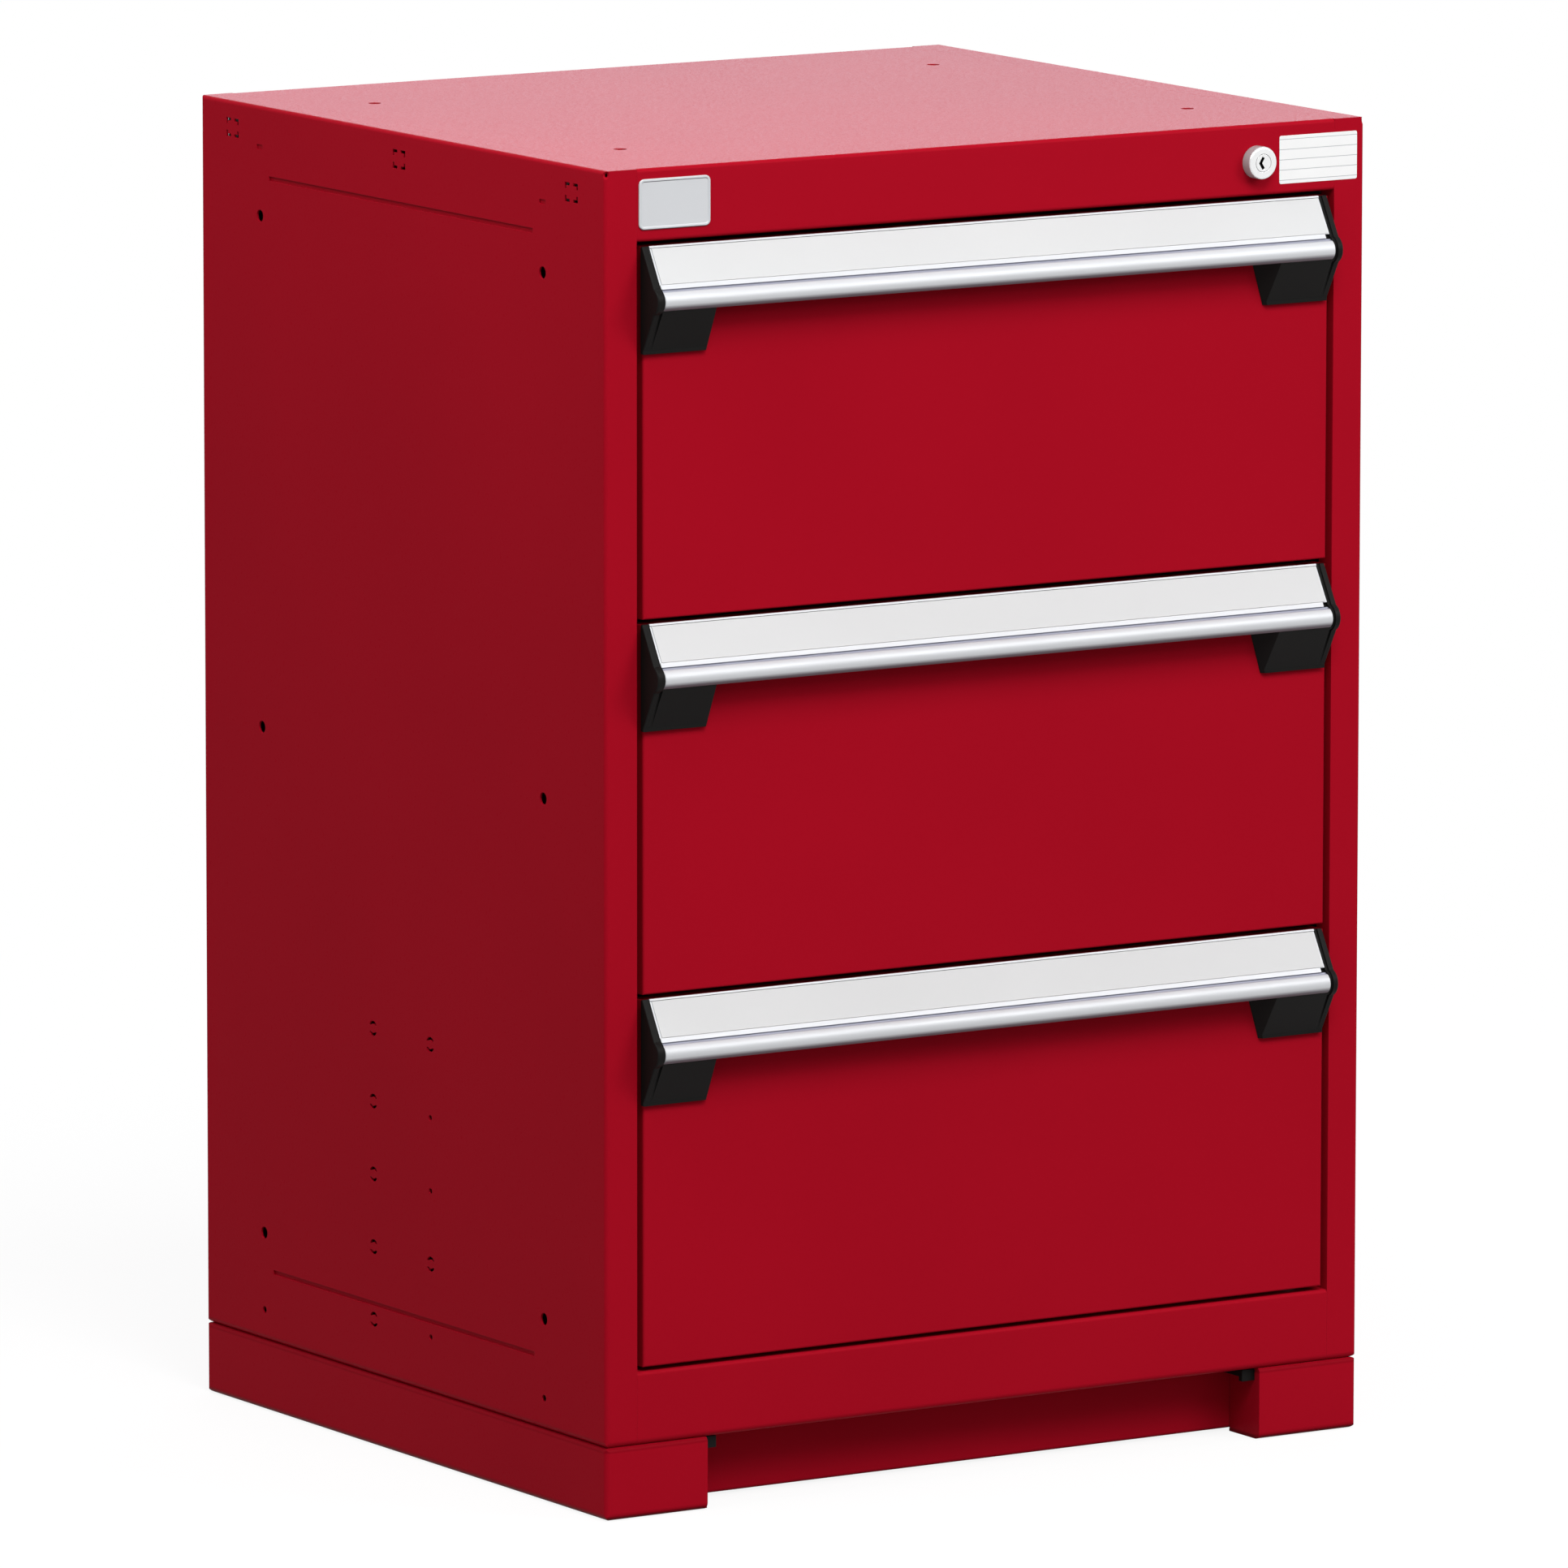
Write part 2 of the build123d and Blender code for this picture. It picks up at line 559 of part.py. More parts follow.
# Bolts and nuts between the base and the housing
with BuildPart() as base_bolts:
    bolt_spread = 2 * (SIDE - BASE_BOLT_FROM_SIDE)
    bolt_low = BASE_HEIGHT - BASE_SHEET
    nut_low = BASE_HEIGHT + SHEET
    with BuildSketch(Plane.XY.offset(bolt_low)):
        with Locations((0, MIDDLE)):
            with GridLocations(bolt_spread, DEPTH - 2 * BASE_BOLT_INSET, 2, 2):
                RegularPolygon(BASE_BOLT_FLATS / 2, 6, major_radius=False)
    extrude(amount=-BASE_BOLT_HEAD)
    with BuildSketch(Plane.XY.offset(bolt_low)):
        with Locations((0, MIDDLE)):
            with GridLocations(bolt_spread, DEPTH - 2 * BASE_BOLT_INSET, 2, 2):
                Circle(BASE_BOLT / 2)
    extrude(amount=BASE_SHEET + SHEET + BASE_NUT + BASE_BOLT_END)
    with BuildSketch(Plane.XY.offset(nut_low)):
        with Locations((0, MIDDLE)):
            with GridLocations(bolt_spread, DEPTH - 2 * BASE_BOLT_INSET, 2, 2):
                RegularPolygon(BASE_BOLT_FLATS / 2, 6, major_radius=False)
    extrude(amount=BASE_NUT)
save(base_bolts.part, "base_bolts")


def handle_point(out, drop, top):
    """Point of the handle's section, out from the drawer front and down from its upper edge."""
    return (FRONT - out, top - drop)


# Directions on the sloped label face: down the face, and square to it into the metal
label_length = ((LABEL_OUT - HANDLE_LAND) ** 2 + LABEL_DROP**2) ** 0.5
DOWN_OUT = (LABEL_OUT - HANDLE_LAND) / label_length
DOWN_DROP = LABEL_DROP / label_length


def label_point(along, inwards, top):
    """Point at a distance down the label face and a depth under it."""
    out = HANDLE_LAND + along * DOWN_OUT - inwards * DOWN_DROP
    return handle_point(out, along * DOWN_DROP + inwards * DOWN_OUT, top)


# Where the inner side of the label wall meets the flange on the drawer front
inner_along = (HANDLE_WALL - HANDLE_LAND + HANDLE_WALL * DOWN_DROP) / DOWN_OUT
FLANGE_START_DROP = inner_along * DOWN_DROP + HANDLE_WALL * DOWN_OUT
SCREW_DROP = (FLANGE_START_DROP + HANDLE_FLANGE_DROP) / 2
SPIGOT_DEPTH = HANDLE_WALL + SPIGOT_PLAY
spigot_along = (SPIGOT_DEPTH - HANDLE_LAND + SPIGOT_DEPTH * DOWN_DROP) / DOWN_OUT


def drawer_box(drawer):
    """Open box of folded sheet, with a flange along the top of its sides and back."""
    low = front_bottom(drawer) + BOX_RISE
    high = front_bottom(drawer) + FRONT_HEIGHT - BOX_DROP
    with BuildPart() as box:
        with BuildSketch(Plane.XY.offset(low)):
            with Locations((0, behind(FRAME_RETURN))):
                Rectangle(2 * BOX_HALF, BOX_BACK - FRAME_RETURN, align=(Align.CENTER, Align.MIN))
        extrude(amount=high - low)
        fillet(faces().sort_by(Axis.Z)[0].edges(), BOX_BEND + DRAWER_SHEET)
        offset(amount=-DRAWER_SHEET, openings=faces().sort_by(Axis.Z)[-1])
        with BuildSketch(Plane.XY.offset(high - DRAWER_SHEET)):
            with Locations((0, behind(FRAME_RETURN))):
                Rectangle(
                    2 * (BOX_HALF + BOX_HEM),
                    BOX_BACK + BOX_HEM - FRAME_RETURN,
                    align=(Align.CENTER, Align.MIN),
                )
                Rectangle(
                    2 * (BOX_HALF - DRAWER_SHEET),
                    BOX_BACK - DRAWER_SHEET - FRAME_RETURN,
                    align=(Align.CENTER, Align.MIN),
                    mode=Mode.SUBTRACT,
                )
        extrude(amount=DRAWER_SHEET)
    return box.part


def drawer_front(drawer):
    """Folded pan with a flange around its open back, where the box is fixed."""
    height = FRONT_HEIGHT - HANDLE_RISE
    middle = front_bottom(drawer) + height / 2
    with BuildPart() as pan:
        with BuildSketch(facing(0)):
            with Locations((0, middle)):
                Rectangle(2 * FRONT_HALF, height)
        extrude(amount=-FRAME_RETURN)
        fillet(faces().sort_by(Axis.Y)[0].edges(), FRONT_EDGE)
        with BuildSketch(facing(DRAWER_SHEET)):
            with Locations((0, middle)):
                Rectangle(2 * (FRONT_HALF - DRAWER_SHEET), height - 2 * DRAWER_SHEET)
        extrude(amount=2 * DRAWER_SHEET - FRAME_RETURN, mode=Mode.SUBTRACT)
        with BuildSketch(facing(FRAME_RETURN)):
            with Locations((0, middle)):
                Rectangle(2 * (FRONT_HALF - FRONT_FLANGE), height - 2 * FRONT_FLANGE)
        extrude(amount=DRAWER_SHEET, mode=Mode.SUBTRACT)
        with BuildSketch(facing(0)):
            with Locations((HANDLE_SHIFT, handle_top(drawer) - SCREW_DROP)):
                with GridLocations(SCREW_PITCH, 0, SCREWS, 1):
                    Circle(SCREW / 2 + SCREW_PLAY)
        extrude(amount=-DRAWER_SHEET, mode=Mode.SUBTRACT)
    return pan.part


def drawer_handle(drawer):
    """Aluminium extrusion: flange on the drawer front, sloped label face, groove and finger lip."""
    top = handle_top(drawer)
    label_end = label_length - LABEL_FOOT
    lip_start = label_length + GROOVE_WIDTH
    with BuildPart() as handle:
        with BuildSketch(Plane.YZ.offset(HANDLE_SHIFT - HANDLE_HALF)):
            with BuildLine():
                Polyline(
                    label_point(label_length, HANDLE_WALL, top),
                    handle_point(HANDLE_WALL, FLANGE_START_DROP, top),
                    handle_point(HANDLE_WALL, HANDLE_FLANGE_DROP, top),
                    handle_point(0, HANDLE_FLANGE_DROP, top),
                    handle_point(0, 0, top),
                    handle_point(HANDLE_LAND, 0, top),
                    label_point(LABEL_EDGE, 0, top),
                    label_point(LABEL_EDGE, LABEL_RECESS, top),
                    label_point(label_end, LABEL_RECESS, top),
                    label_point(label_end, 0, top),
                    label_point(label_length, 0, top),
                    label_point(label_length, GROOVE_DEPTH, top),
                    label_point(lip_start, GROOVE_DEPTH, top),
                    label_point(lip_start, 0, top),
                )
                ThreePointArc(
                    label_point(lip_start, 0, top),
                    handle_point(LIP_OUT, LIP_BELLY_DROP, top),
                    handle_point(LIP_FOOT_OUT, LIP_DROP, top),
                )
                Line(
                    handle_point(LIP_FOOT_OUT, LIP_DROP, top),
                    handle_point(LIP_FOOT_OUT - HANDLE_WALL, LIP_DROP, top),
                )
                ThreePointArc(
                    handle_point(LIP_FOOT_OUT - HANDLE_WALL, LIP_DROP, top),
                    handle_point(LIP_OUT - HANDLE_WALL, LIP_BELLY_DROP, top),
                    label_point(label_length, HANDLE_WALL, top),
                )
            make_face()
        extrude(amount=2 * HANDLE_HALF)
        with BuildSketch(facing(0)):
            with Locations((HANDLE_SHIFT, top - SCREW_DROP)):
                with GridLocations(SCREW_PITCH, 0, SCREWS, 1):
                    Circle(SCREW / 2 + SCREW_PLAY)
        extrude(amount=HANDLE_WALL, mode=Mode.SUBTRACT)
        with BuildSketch(Plane.YZ.offset(HANDLE_SHIFT + HANDLE_HALF)):
            with BuildLine():
                Polyline(
                    label_point(label_end, -HANDLE_WALL, top),
                    label_point(label_end, 2 * HANDLE_WALL, top),
                    label_point(label_length, 2 * HANDLE_WALL, top),
                    label_point(label_length, -HANDLE_WALL, top),
                    close=True,
                )
            make_face()
        extrude(amount=-NOTCH_LENGTH, mode=Mode.SUBTRACT)
    return handle.part


def drawer_label(drawer):
    """Card strip in the recess of the label face."""
    top = handle_top(drawer)
    start = LABEL_EDGE + LABEL_PLAY
    end = label_length - LABEL_FOOT - LABEL_PLAY
    with BuildPart() as card:
        with BuildSketch(Plane.YZ.offset(HANDLE_SHIFT + LABEL_EDGE - HANDLE_HALF)):
            with BuildLine():
                Polyline(
                    label_point(start, LABEL_RECESS, top),
                    label_point(end, LABEL_RECESS, top),
                    label_point(end, LABEL_RECESS - LABEL_CARD, top),
                    label_point(start, LABEL_RECESS - LABEL_CARD, top),
                    close=True,
                )
            make_face()
        extrude(amount=2 * (HANDLE_HALF - LABEL_EDGE))
    return card.part


def drawer_screws(drawer):
    """Screws from inside the drawer front into the flange of the handle."""
    height = handle_top(drawer) - SCREW_DROP
    with BuildPart() as screws:
        with BuildSketch(facing(DRAWER_SHEET)):
            with Locations((HANDLE_SHIFT, height)):
                with GridLocations(SCREW_PITCH, 0, SCREWS, 1):
                    Circle(SCREW / 2)
        extrude(amount=DRAWER_SHEET + HANDLE_WALL)
        with BuildSketch(facing(DRAWER_SHEET)):
            with Locations((HANDLE_SHIFT, height)):
                with GridLocations(SCREW_PITCH, 0, SCREWS, 1):
                    Circle(SCREW_HEAD / 2)
        extrude(amount=-SCREW_HEAD_HEIGHT)
    return screws.part


def handle_cap(drawer, middle):
    """Right end cap of a handle: stepped end plate, spigot and gusset; middle is that of the handle."""
    top = handle_top(drawer)
    handle_end = middle + HANDLE_HALF
    gusset_edge = handle_end + CAP_WIDTH - GUSSET_REACH
    lean = Plane(
        origin=(gusset_edge, FRONT, top - GUSSET_TOP_DROP),
        z_dir=(1, GUSSET_LEAN_OUT, GUSSET_LEAN_DOWN),
    )
    with BuildPart() as cap:
        with BuildSketch(Plane.YZ.offset(gusset_edge)):
            with BuildLine():
                Polyline(
                    handle_point(0, LIP_DROP, top),
                    handle_point(LIP_FOOT_OUT, LIP_DROP, top),
                    handle_point(GUSSET_TOP_OUT, GUSSET_TOP_DROP, top),
                    handle_point(GUSSET_FOOT_OUT, GUSSET_FOOT_DROP, top),
                    handle_point(GUSSET_FOOT_OUT, GUSSET_END_DROP, top),
                    handle_point(0, GUSSET_END_DROP, top),
                    close=True,
                )
            make_face()
        extrude(amount=handle_end - gusset_edge)
        split(bisect_by=lean, keep=Keep.TOP)
        for start, width, step in (
            (handle_end, CAP_STEP_WIDTH, CAP_STEP),
            (handle_end + CAP_STEP_WIDTH, CAP_WIDTH - CAP_STEP_WIDTH, 0),
        ):
            with BuildSketch(Plane.YZ.offset(start)):
                with BuildLine():
                    Polyline(
                        handle_point(0, 0, top),
                        handle_point(CAP_TOP_OUT - step, 0, top),
                        handle_point(CAP_FACE_OUT - step, CAP_FACE_DROP, top),
                    )
                    ThreePointArc(
                        handle_point(CAP_FACE_OUT - step, CAP_FACE_DROP, top),
                        handle_point(CAP_OUT - step, (CAP_FACE_DROP + GUSSET_TOP_DROP) / 2, top),
                        handle_point(GUSSET_TOP_OUT - step, GUSSET_TOP_DROP, top),
                    )
                    Polyline(
                        handle_point(GUSSET_TOP_OUT - step, GUSSET_TOP_DROP, top),
                        handle_point(GUSSET_FOOT_OUT, GUSSET_FOOT_DROP, top),
                        handle_point(GUSSET_FOOT_OUT, GUSSET_END_DROP, top),
                        handle_point(0, GUSSET_END_DROP, top),
                        handle_point(0, 0, top),
                    )
                make_face()
            extrude(amount=width)
        end_face = faces().sort_by(Axis.X)[-1]
        fillet(end_face.edges() - end_face.edges().group_by(Axis.Y)[-1], CAP_EDGE)
        with BuildSketch(Plane.YZ.offset(handle_end)):
            with BuildLine():
                Polyline(
                    label_point(spigot_along, SPIGOT_DEPTH, top),
                    label_point(label_length, SPIGOT_DEPTH, top),
                    handle_point(SPIGOT_DEPTH, label_length * DOWN_DROP + SPIGOT_DEPTH * DOWN_OUT, top),
                    close=True,
                )
            make_face()
        extrude(amount=-SPIGOT_LENGTH)
    return cap.part


def lock_catch(drawer):
    """Angle on the right side of the drawer box that the lug of the lock bar drops in front of."""
    with BuildPart() as catch:
        with BuildSketch(Plane.XY.offset(slide_middle(drawer) + CATCH_RISE)):
            with Locations((BOX_HALF, behind(CATCH_FRONT))):
                Rectangle(CATCH_TIP - BOX_HALF, CATCH_THICKNESS, align=(Align.MIN, Align.MIN))
                Rectangle(CATCH_SHEET, CATCH_LENGTH, align=(Align.MIN, Align.MIN))
        extrude(amount=CATCH_HEIGHT)
    return catch.part


def channel_rails(drawer, lip, web, back):
    """Pair of channel rails, from the edge of the flanges at lip to the outside of the web."""
    middle = slide_middle(drawer)
    half = (RAIL_HEIGHT - RAIL_SHEET) / 2
    web_line = web - RAIL_SHEET / 2 if web > lip else web + RAIL_SHEET / 2
    with BuildPart() as rails:
        with BuildSketch(facing(RAIL_FRONT)):
            with BuildLine():
                FilletPolyline(
                    (lip, middle + half),
                    (web_line, middle + half),
                    (web_line, middle - half),
                    (lip, middle - half),
                    radius=RAIL_BEND + RAIL_SHEET / 2,
                )
            trace(line_width=RAIL_SHEET)
        extrude(amount=RAIL_FRONT - back)
        mirror(about=Plane.YZ)
    return rails.part


# Glides of the intermediate rails: the outer ones run in the cabinet rails, the inner ones in the
# drawer rails, and each pair still holds its rail when the drawer is right out
GLIDE_END = GLIDE_LENGTH / 2 + GLIDE_MARGIN
OUTER_GLIDES = (RAIL_FRONT + TRAVEL / 2 + GLIDE_END, MID_BACK - GLIDE_END)
INNER_GLIDES = (RAIL_FRONT + GLIDE_END, DRAWER_RAIL_BACK - TRAVEL / 2 - GLIDE_END)
OUTER_GLIDE_WIDTH = UPRIGHT_FACE - RAIL_SHEET - GLIDE_SIDE_PLAY - MID_OUTER
INNER_GLIDE_WIDTH = MID_INNER - BOX_HALF - RAIL_SHEET - GLIDE_SIDE_PLAY
GLIDE_HEIGHT = RAIL_HEIGHT - 2 * (RAIL_SHEET + GLIDE_PLAY)


def mid_rails(drawer):
    """Pair of intermediate rails: plates with studs for the glides on both faces."""
    middle = slide_middle(drawer)
    with BuildPart() as rails:
        with BuildSketch(Plane.YZ.offset(MID_INNER)):
            with Locations((behind((RAIL_FRONT + MID_BACK) / 2), middle)):
                RectangleRounded(MID_BACK - RAIL_FRONT, MID_HEIGHT, MID_CORNER)
        extrude(amount=MID_SHEET)
        with BuildSketch(Plane.YZ.offset(MID_OUTER)):
            with Locations([(behind(depth), middle) for depth in OUTER_GLIDES]):
                Circle(STUD / 2)
        extrude(amount=OUTER_GLIDE_WIDTH)
        with BuildSketch(Plane.YZ.offset(MID_INNER)):
            with Locations([(behind(depth), middle) for depth in INNER_GLIDES]):
                Circle(STUD / 2)
        extrude(amount=-INNER_GLIDE_WIDTH)
        mirror(about=Plane.YZ)
    return rails.part


def glides(drawer):
    """Nylon glide blocks on the studs of the intermediate rails."""
    middle = slide_middle(drawer)
    with BuildPart() as blocks:
        with BuildSketch(Plane.YZ.offset(MID_OUTER)):
            with Locations([(behind(depth), middle) for depth in OUTER_GLIDES]):
                RectangleRounded(GLIDE_LENGTH, GLIDE_HEIGHT, MID_CORNER)
                Circle(STUD / 2 + STUD_PLAY, mode=Mode.SUBTRACT)
        extrude(amount=OUTER_GLIDE_WIDTH)
        with BuildSketch(Plane.YZ.offset(MID_INNER)):
            with Locations([(behind(depth), middle) for depth in INNER_GLIDES]):
                RectangleRounded(GLIDE_LENGTH, GLIDE_HEIGHT, MID_CORNER)
                Circle(STUD / 2 + STUD_PLAY, mode=Mode.SUBTRACT)
        extrude(amount=-INNER_GLIDE_WIDTH)
        mirror(about=Plane.YZ)
    return blocks.part


# Drawers with their fronts, handles and slides
for number in range(1, DRAWERS + 1):
    name = f"drawer_{number}"
    save(drawer_box(number), f"{name}_box")
    save(drawer_front(number), f"{name}_front")
    save(drawer_handle(number), f"{name}_handle")
    save(drawer_label(number), f"{name}_label")
    save(drawer_screws(number), f"{name}_handle_screws")
    save(handle_cap(number, HANDLE_SHIFT), f"{name}_cap_right")
    save(mirrored(handle_cap(number, -HANDLE_SHIFT)), f"{name}_cap_left")
    save(lock_catch(number), f"{name}_lock_catch")
    save(channel_rails(number, DRAWER_RAIL_OUTER, BOX_HALF, DRAWER_RAIL_BACK), f"{name}_rails")
    save(channel_rails(number, CABINET_RAIL_INNER, UPRIGHT_FACE, RAIL_BACK), f"{name}_cabinet_rails")
    save(mid_rails(number), f"{name}_mid_rails")
    save(glides(number), f"{name}_glides")

# Rubber bumpers on the back panel that stop the drawers flush with the frame
with BuildPart() as drawer_bumpers:
    with BuildSketch(facing(BACK_PANEL_FRONT)):
        with Locations([(0, front_bottom(number) + BUMPER_RISE) for number in range(1, DRAWERS + 1)]):
            with GridLocations(2 * (BOX_HALF - BUMPER_INSET), 0, 2, 1):
                Circle(BUMPER_RADIUS)
    bumper_taper = degrees(atan2(BUMPER_RADIUS - BUMPER_TIP, BUMPER_LENGTH))
    extrude(amount=BUMPER_LENGTH, taper=bumper_taper)
save(drawer_bumpers.part, "drawer_bumpers")

# Lock housing: a round face in front of the header and a body through it, bored for the plug
with BuildPart() as lock_housing:
    with BuildSketch(facing(0)):
        with Locations((LOCK_X, LOCK_Z)):
            Circle(LOCK_FACE / 2)
    extrude(amount=LOCK_STANDOUT)
    fillet(faces().sort_by(Axis.Y)[0].edges(), LOCK_EDGE)
    with BuildSketch(facing(0)):
        with Locations((LOCK_X, LOCK_Z)):
            Circle(LOCK_BODY / 2)
    extrude(amount=-LOCK_END)
    with BuildSketch(facing(LOCK_END)):
        with Locations((LOCK_X, LOCK_Z)):
            Circle(LOCK_PLUG / 2 + RUN_CLEARANCE)
    extrude(amount=LOCK_END + LOCK_STANDOUT, mode=Mode.SUBTRACT)
save(lock_housing.part, "lock_housing")

# Nut that holds the housing from behind the header
with BuildPart() as lock_nut:
    with BuildSketch(facing(SHEET)):
        with Locations((LOCK_X, LOCK_Z)):
            RegularPolygon(LOCK_NUT_FLATS / 2, 6, major_radius=False)
            Circle(LOCK_BODY / 2 + LOCK_FIT, mode=Mode.SUBTRACT)
    extrude(amount=-LOCK_NUT_HEIGHT)
save(lock_nut.part, "lock_nut")

# Lock plug with its keyway and the thread hole for the cam screw
with BuildPart() as lock_plug:
    with BuildSketch(facing(CAM_FRONT)):
        with Locations((LOCK_X, LOCK_Z)):
            Circle(LOCK_PLUG / 2)
    extrude(amount=CAM_FRONT + LOCK_STANDOUT)
    with BuildSketch(facing(-LOCK_STANDOUT)):
        with BuildLine():
            Polyline(
                (LOCK_X, LOCK_Z + KEYWAY_HEIGHT / 2),
                (LOCK_X - KEYWAY_KINK, LOCK_Z),
                (LOCK_X, LOCK_Z - KEYWAY_HEIGHT / 2),
            )
        trace(line_width=KEYWAY_WIDTH)
    extrude(amount=-KEYWAY_DEPTH, mode=Mode.SUBTRACT)
    with BuildSketch(facing(CAM_FRONT)):
        with Locations((LOCK_X, LOCK_Z)):
            Circle(CAM_SCREW / 2 + LOCK_FIT)
    extrude(amount=CAM_SCREW_DEPTH + LOCK_FIT, mode=Mode.SUBTRACT)
save(lock_plug.part, "lock_plug")

# Cam behind the plug, with the pin that lifts the lock bar
with BuildPart() as lock_cam:
    pin_place = (LOCK_X + PIN_OUT, LOCK_Z + PIN_RISE)
    with BuildSketch(facing(CAM_FRONT)):
        with Locations((LOCK_X, LOCK_Z)):
            Circle(CAM_HUB / 2)
        with BuildLine():
            Line((LOCK_X, LOCK_Z), pin_place)
        trace(line_width=CAM_ARM)
        with Locations(pin_place):
            Circle(CAM_ARM / 2)
        with Locations((LOCK_X, LOCK_Z)):
            Circle(CAM_SCREW / 2 + LOCK_FIT, mode=Mode.SUBTRACT)
    extrude(amount=-CAM_SHEET)
    with BuildSketch(facing(CAM_BACK)):
        with Locations(pin_place):
            Circle(CAM_PIN / 2)
    extrude(amount=CAM_BACK - BAR_BACK - CAM_PIN_END)
save(lock_cam.part, "lock_cam")

# Screw that holds the cam on the plug
with BuildPart() as lock_cam_screw:
    with BuildSketch(facing(CAM_BACK)):
        with Locations((LOCK_X, LOCK_Z)):
            Circle(CAM_SCREW_HEAD / 2)
    extrude(amount=-CAM_SCREW_HEIGHT)
    with BuildSketch(facing(CAM_BACK)):
        with Locations((LOCK_X, LOCK_Z)):
            Circle(CAM_SCREW / 2)
    extrude(amount=CAM_SHEET + CAM_SCREW_DEPTH)
save(lock_cam_screw.part, "lock_cam_screw")


def lug_bottom(drawer):
    """Z of the lower edge of a lug of the lock bar, unlocked."""
    return slide_middle(drawer) + CATCH_RISE + CATCH_HEIGHT + CATCH_CLEARANCE


# Lock bar: a flat strip behind the right stile, with a slotted arm to the cam and a lug per drawer
with BuildPart() as lock_bar:
    slot_height = CAM_PIN + 2 * CAM_PIN_PLAY
    arm_middle = LOCK_Z + PIN_RISE
    arm_height = slot_height + 2 * BAR_WEB
    arm_end = LOCK_X + PIN_OUT - slot_height / 2 - BAR_WEB
    bar_outer = BAR_INNER + BAR_WIDTH
    bar_low = lug_bottom(DRAWERS)
    bar_high = arm_middle + arm_height / 2
    with BuildSketch(facing(BAR_FRONT)):
        with Locations((BAR_INNER, bar_low)):
            Rectangle(BAR_WIDTH, bar_high - bar_low, align=Align.MIN)
        with Locations((bar_outer, arm_middle)):
            Rectangle(bar_outer - arm_end, arm_height, align=(Align.MAX, Align.CENTER))
        with Locations([(BAR_INNER, lug_bottom(number)) for number in range(1, DRAWERS + 1)]):
            Rectangle(BAR_INNER - LUG_TIP, LUG_HEIGHT, align=(Align.MAX, Align.MIN))
        with Locations((LOCK_X + (PIN_OUT + CAM_RADIUS) / 2, arm_middle)):
            SlotCenterToCenter(CAM_RADIUS - PIN_OUT + 2 * CAM_PIN_PLAY, slot_height, mode=Mode.SUBTRACT)
    extrude(amount=-BAR_SHEET)
save(lock_bar.part, "lock_bar")

# Guides that hold the lock bar, on the right front upright between the lugs
with BuildPart() as lock_bar_guides:
    bar_middle = BAR_INNER + BAR_WIDTH / 2
    guide_front = BAR_FRONT - GUIDE_PLAY - GUIDE_WALL
    slot_depth = BAR_SHEET + 2 * GUIDE_PLAY
    guide_width = BAR_WIDTH + 2 * (GUIDE_PLAY + GUIDE_WALL)
    for number in range(1, DRAWERS):
        guide_low = lug_bottom(number + 1) + DRAWER_PITCH / 2
        with BuildSketch(Plane.XY.offset(guide_low)):
            with Locations((bar_middle, behind(guide_front))):
                Rectangle(guide_width, slot_depth + 2 * GUIDE_WALL, align=(Align.CENTER, Align.MIN))
            with Locations((bar_middle + guide_width / 2, behind(guide_front))):
                Rectangle(
                    bar_middle + guide_width / 2 - UPRIGHT_FACE,
                    RAIL_FRONT - guide_front,
                    align=(Align.MAX, Align.MIN),
                )
            with Locations((bar_middle, behind(guide_front + GUIDE_WALL))):
                Rectangle(
                    BAR_WIDTH + 2 * GUIDE_PLAY,
                    slot_depth,
                    align=(Align.CENTER, Align.MIN),
                    mode=Mode.SUBTRACT,
                )
        extrude(amount=GUIDE_HEIGHT)
save(lock_bar_guides.part, "lock_bar_guides")
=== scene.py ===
# %% [markdown]
# # A steel drawer cabinet, dressed for its portrait
# The shapes of the cabinet come from a CAD model: folded steel panels, three drawers on
# telescopic slides, aluminium handles and a lock. This lesson gives those shapes their finishes,
# adds the small plates on the header and the rivets in the drawers, and sets up the camera and a
# plain studio. Everything is in metres, and the cabinet stands on the floor at the origin, with
# its front at -Y.

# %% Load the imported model
import math

import bmesh
import bpy
from mathutils import Matrix, Vector


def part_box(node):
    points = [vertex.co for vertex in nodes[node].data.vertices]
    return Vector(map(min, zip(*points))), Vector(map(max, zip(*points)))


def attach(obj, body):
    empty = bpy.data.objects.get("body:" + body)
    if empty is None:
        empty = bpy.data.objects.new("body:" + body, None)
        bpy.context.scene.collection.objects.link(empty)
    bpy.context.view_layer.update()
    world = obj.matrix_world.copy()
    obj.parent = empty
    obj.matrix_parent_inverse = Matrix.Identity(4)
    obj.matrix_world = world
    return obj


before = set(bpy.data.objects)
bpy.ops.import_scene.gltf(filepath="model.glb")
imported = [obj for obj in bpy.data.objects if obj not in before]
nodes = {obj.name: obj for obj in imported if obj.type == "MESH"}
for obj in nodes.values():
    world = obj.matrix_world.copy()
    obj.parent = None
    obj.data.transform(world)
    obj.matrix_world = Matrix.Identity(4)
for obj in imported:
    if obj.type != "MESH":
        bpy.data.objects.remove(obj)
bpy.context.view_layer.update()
scene = bpy.context.scene
scene.view_settings.view_transform = "Standard"

# %% [markdown]
# ## Camera
# A product photograph is often taken from far away with a long lens, so that upright edges stay
# parallel. The numbers here were fitted to the corners of the cabinet: the camera stands about
# ten metres off, turned to the left of the cabinet and looking slightly down on it.

# %% Camera at the photograph's viewing angle
CAMERA_PLACE = Vector((-5.6649, -8.9542, 2.1176))
CAMERA_YAW, CAMERA_PITCH, CAMERA_ROLL = (math.radians(a) for a in (-32.307, -8.981, -0.057))
CAMERA_LEVEL = math.radians(90)  # a camera looks straight down until it is tipped up
LENS_MM, SENSOR_MM = 355.82, 36.0

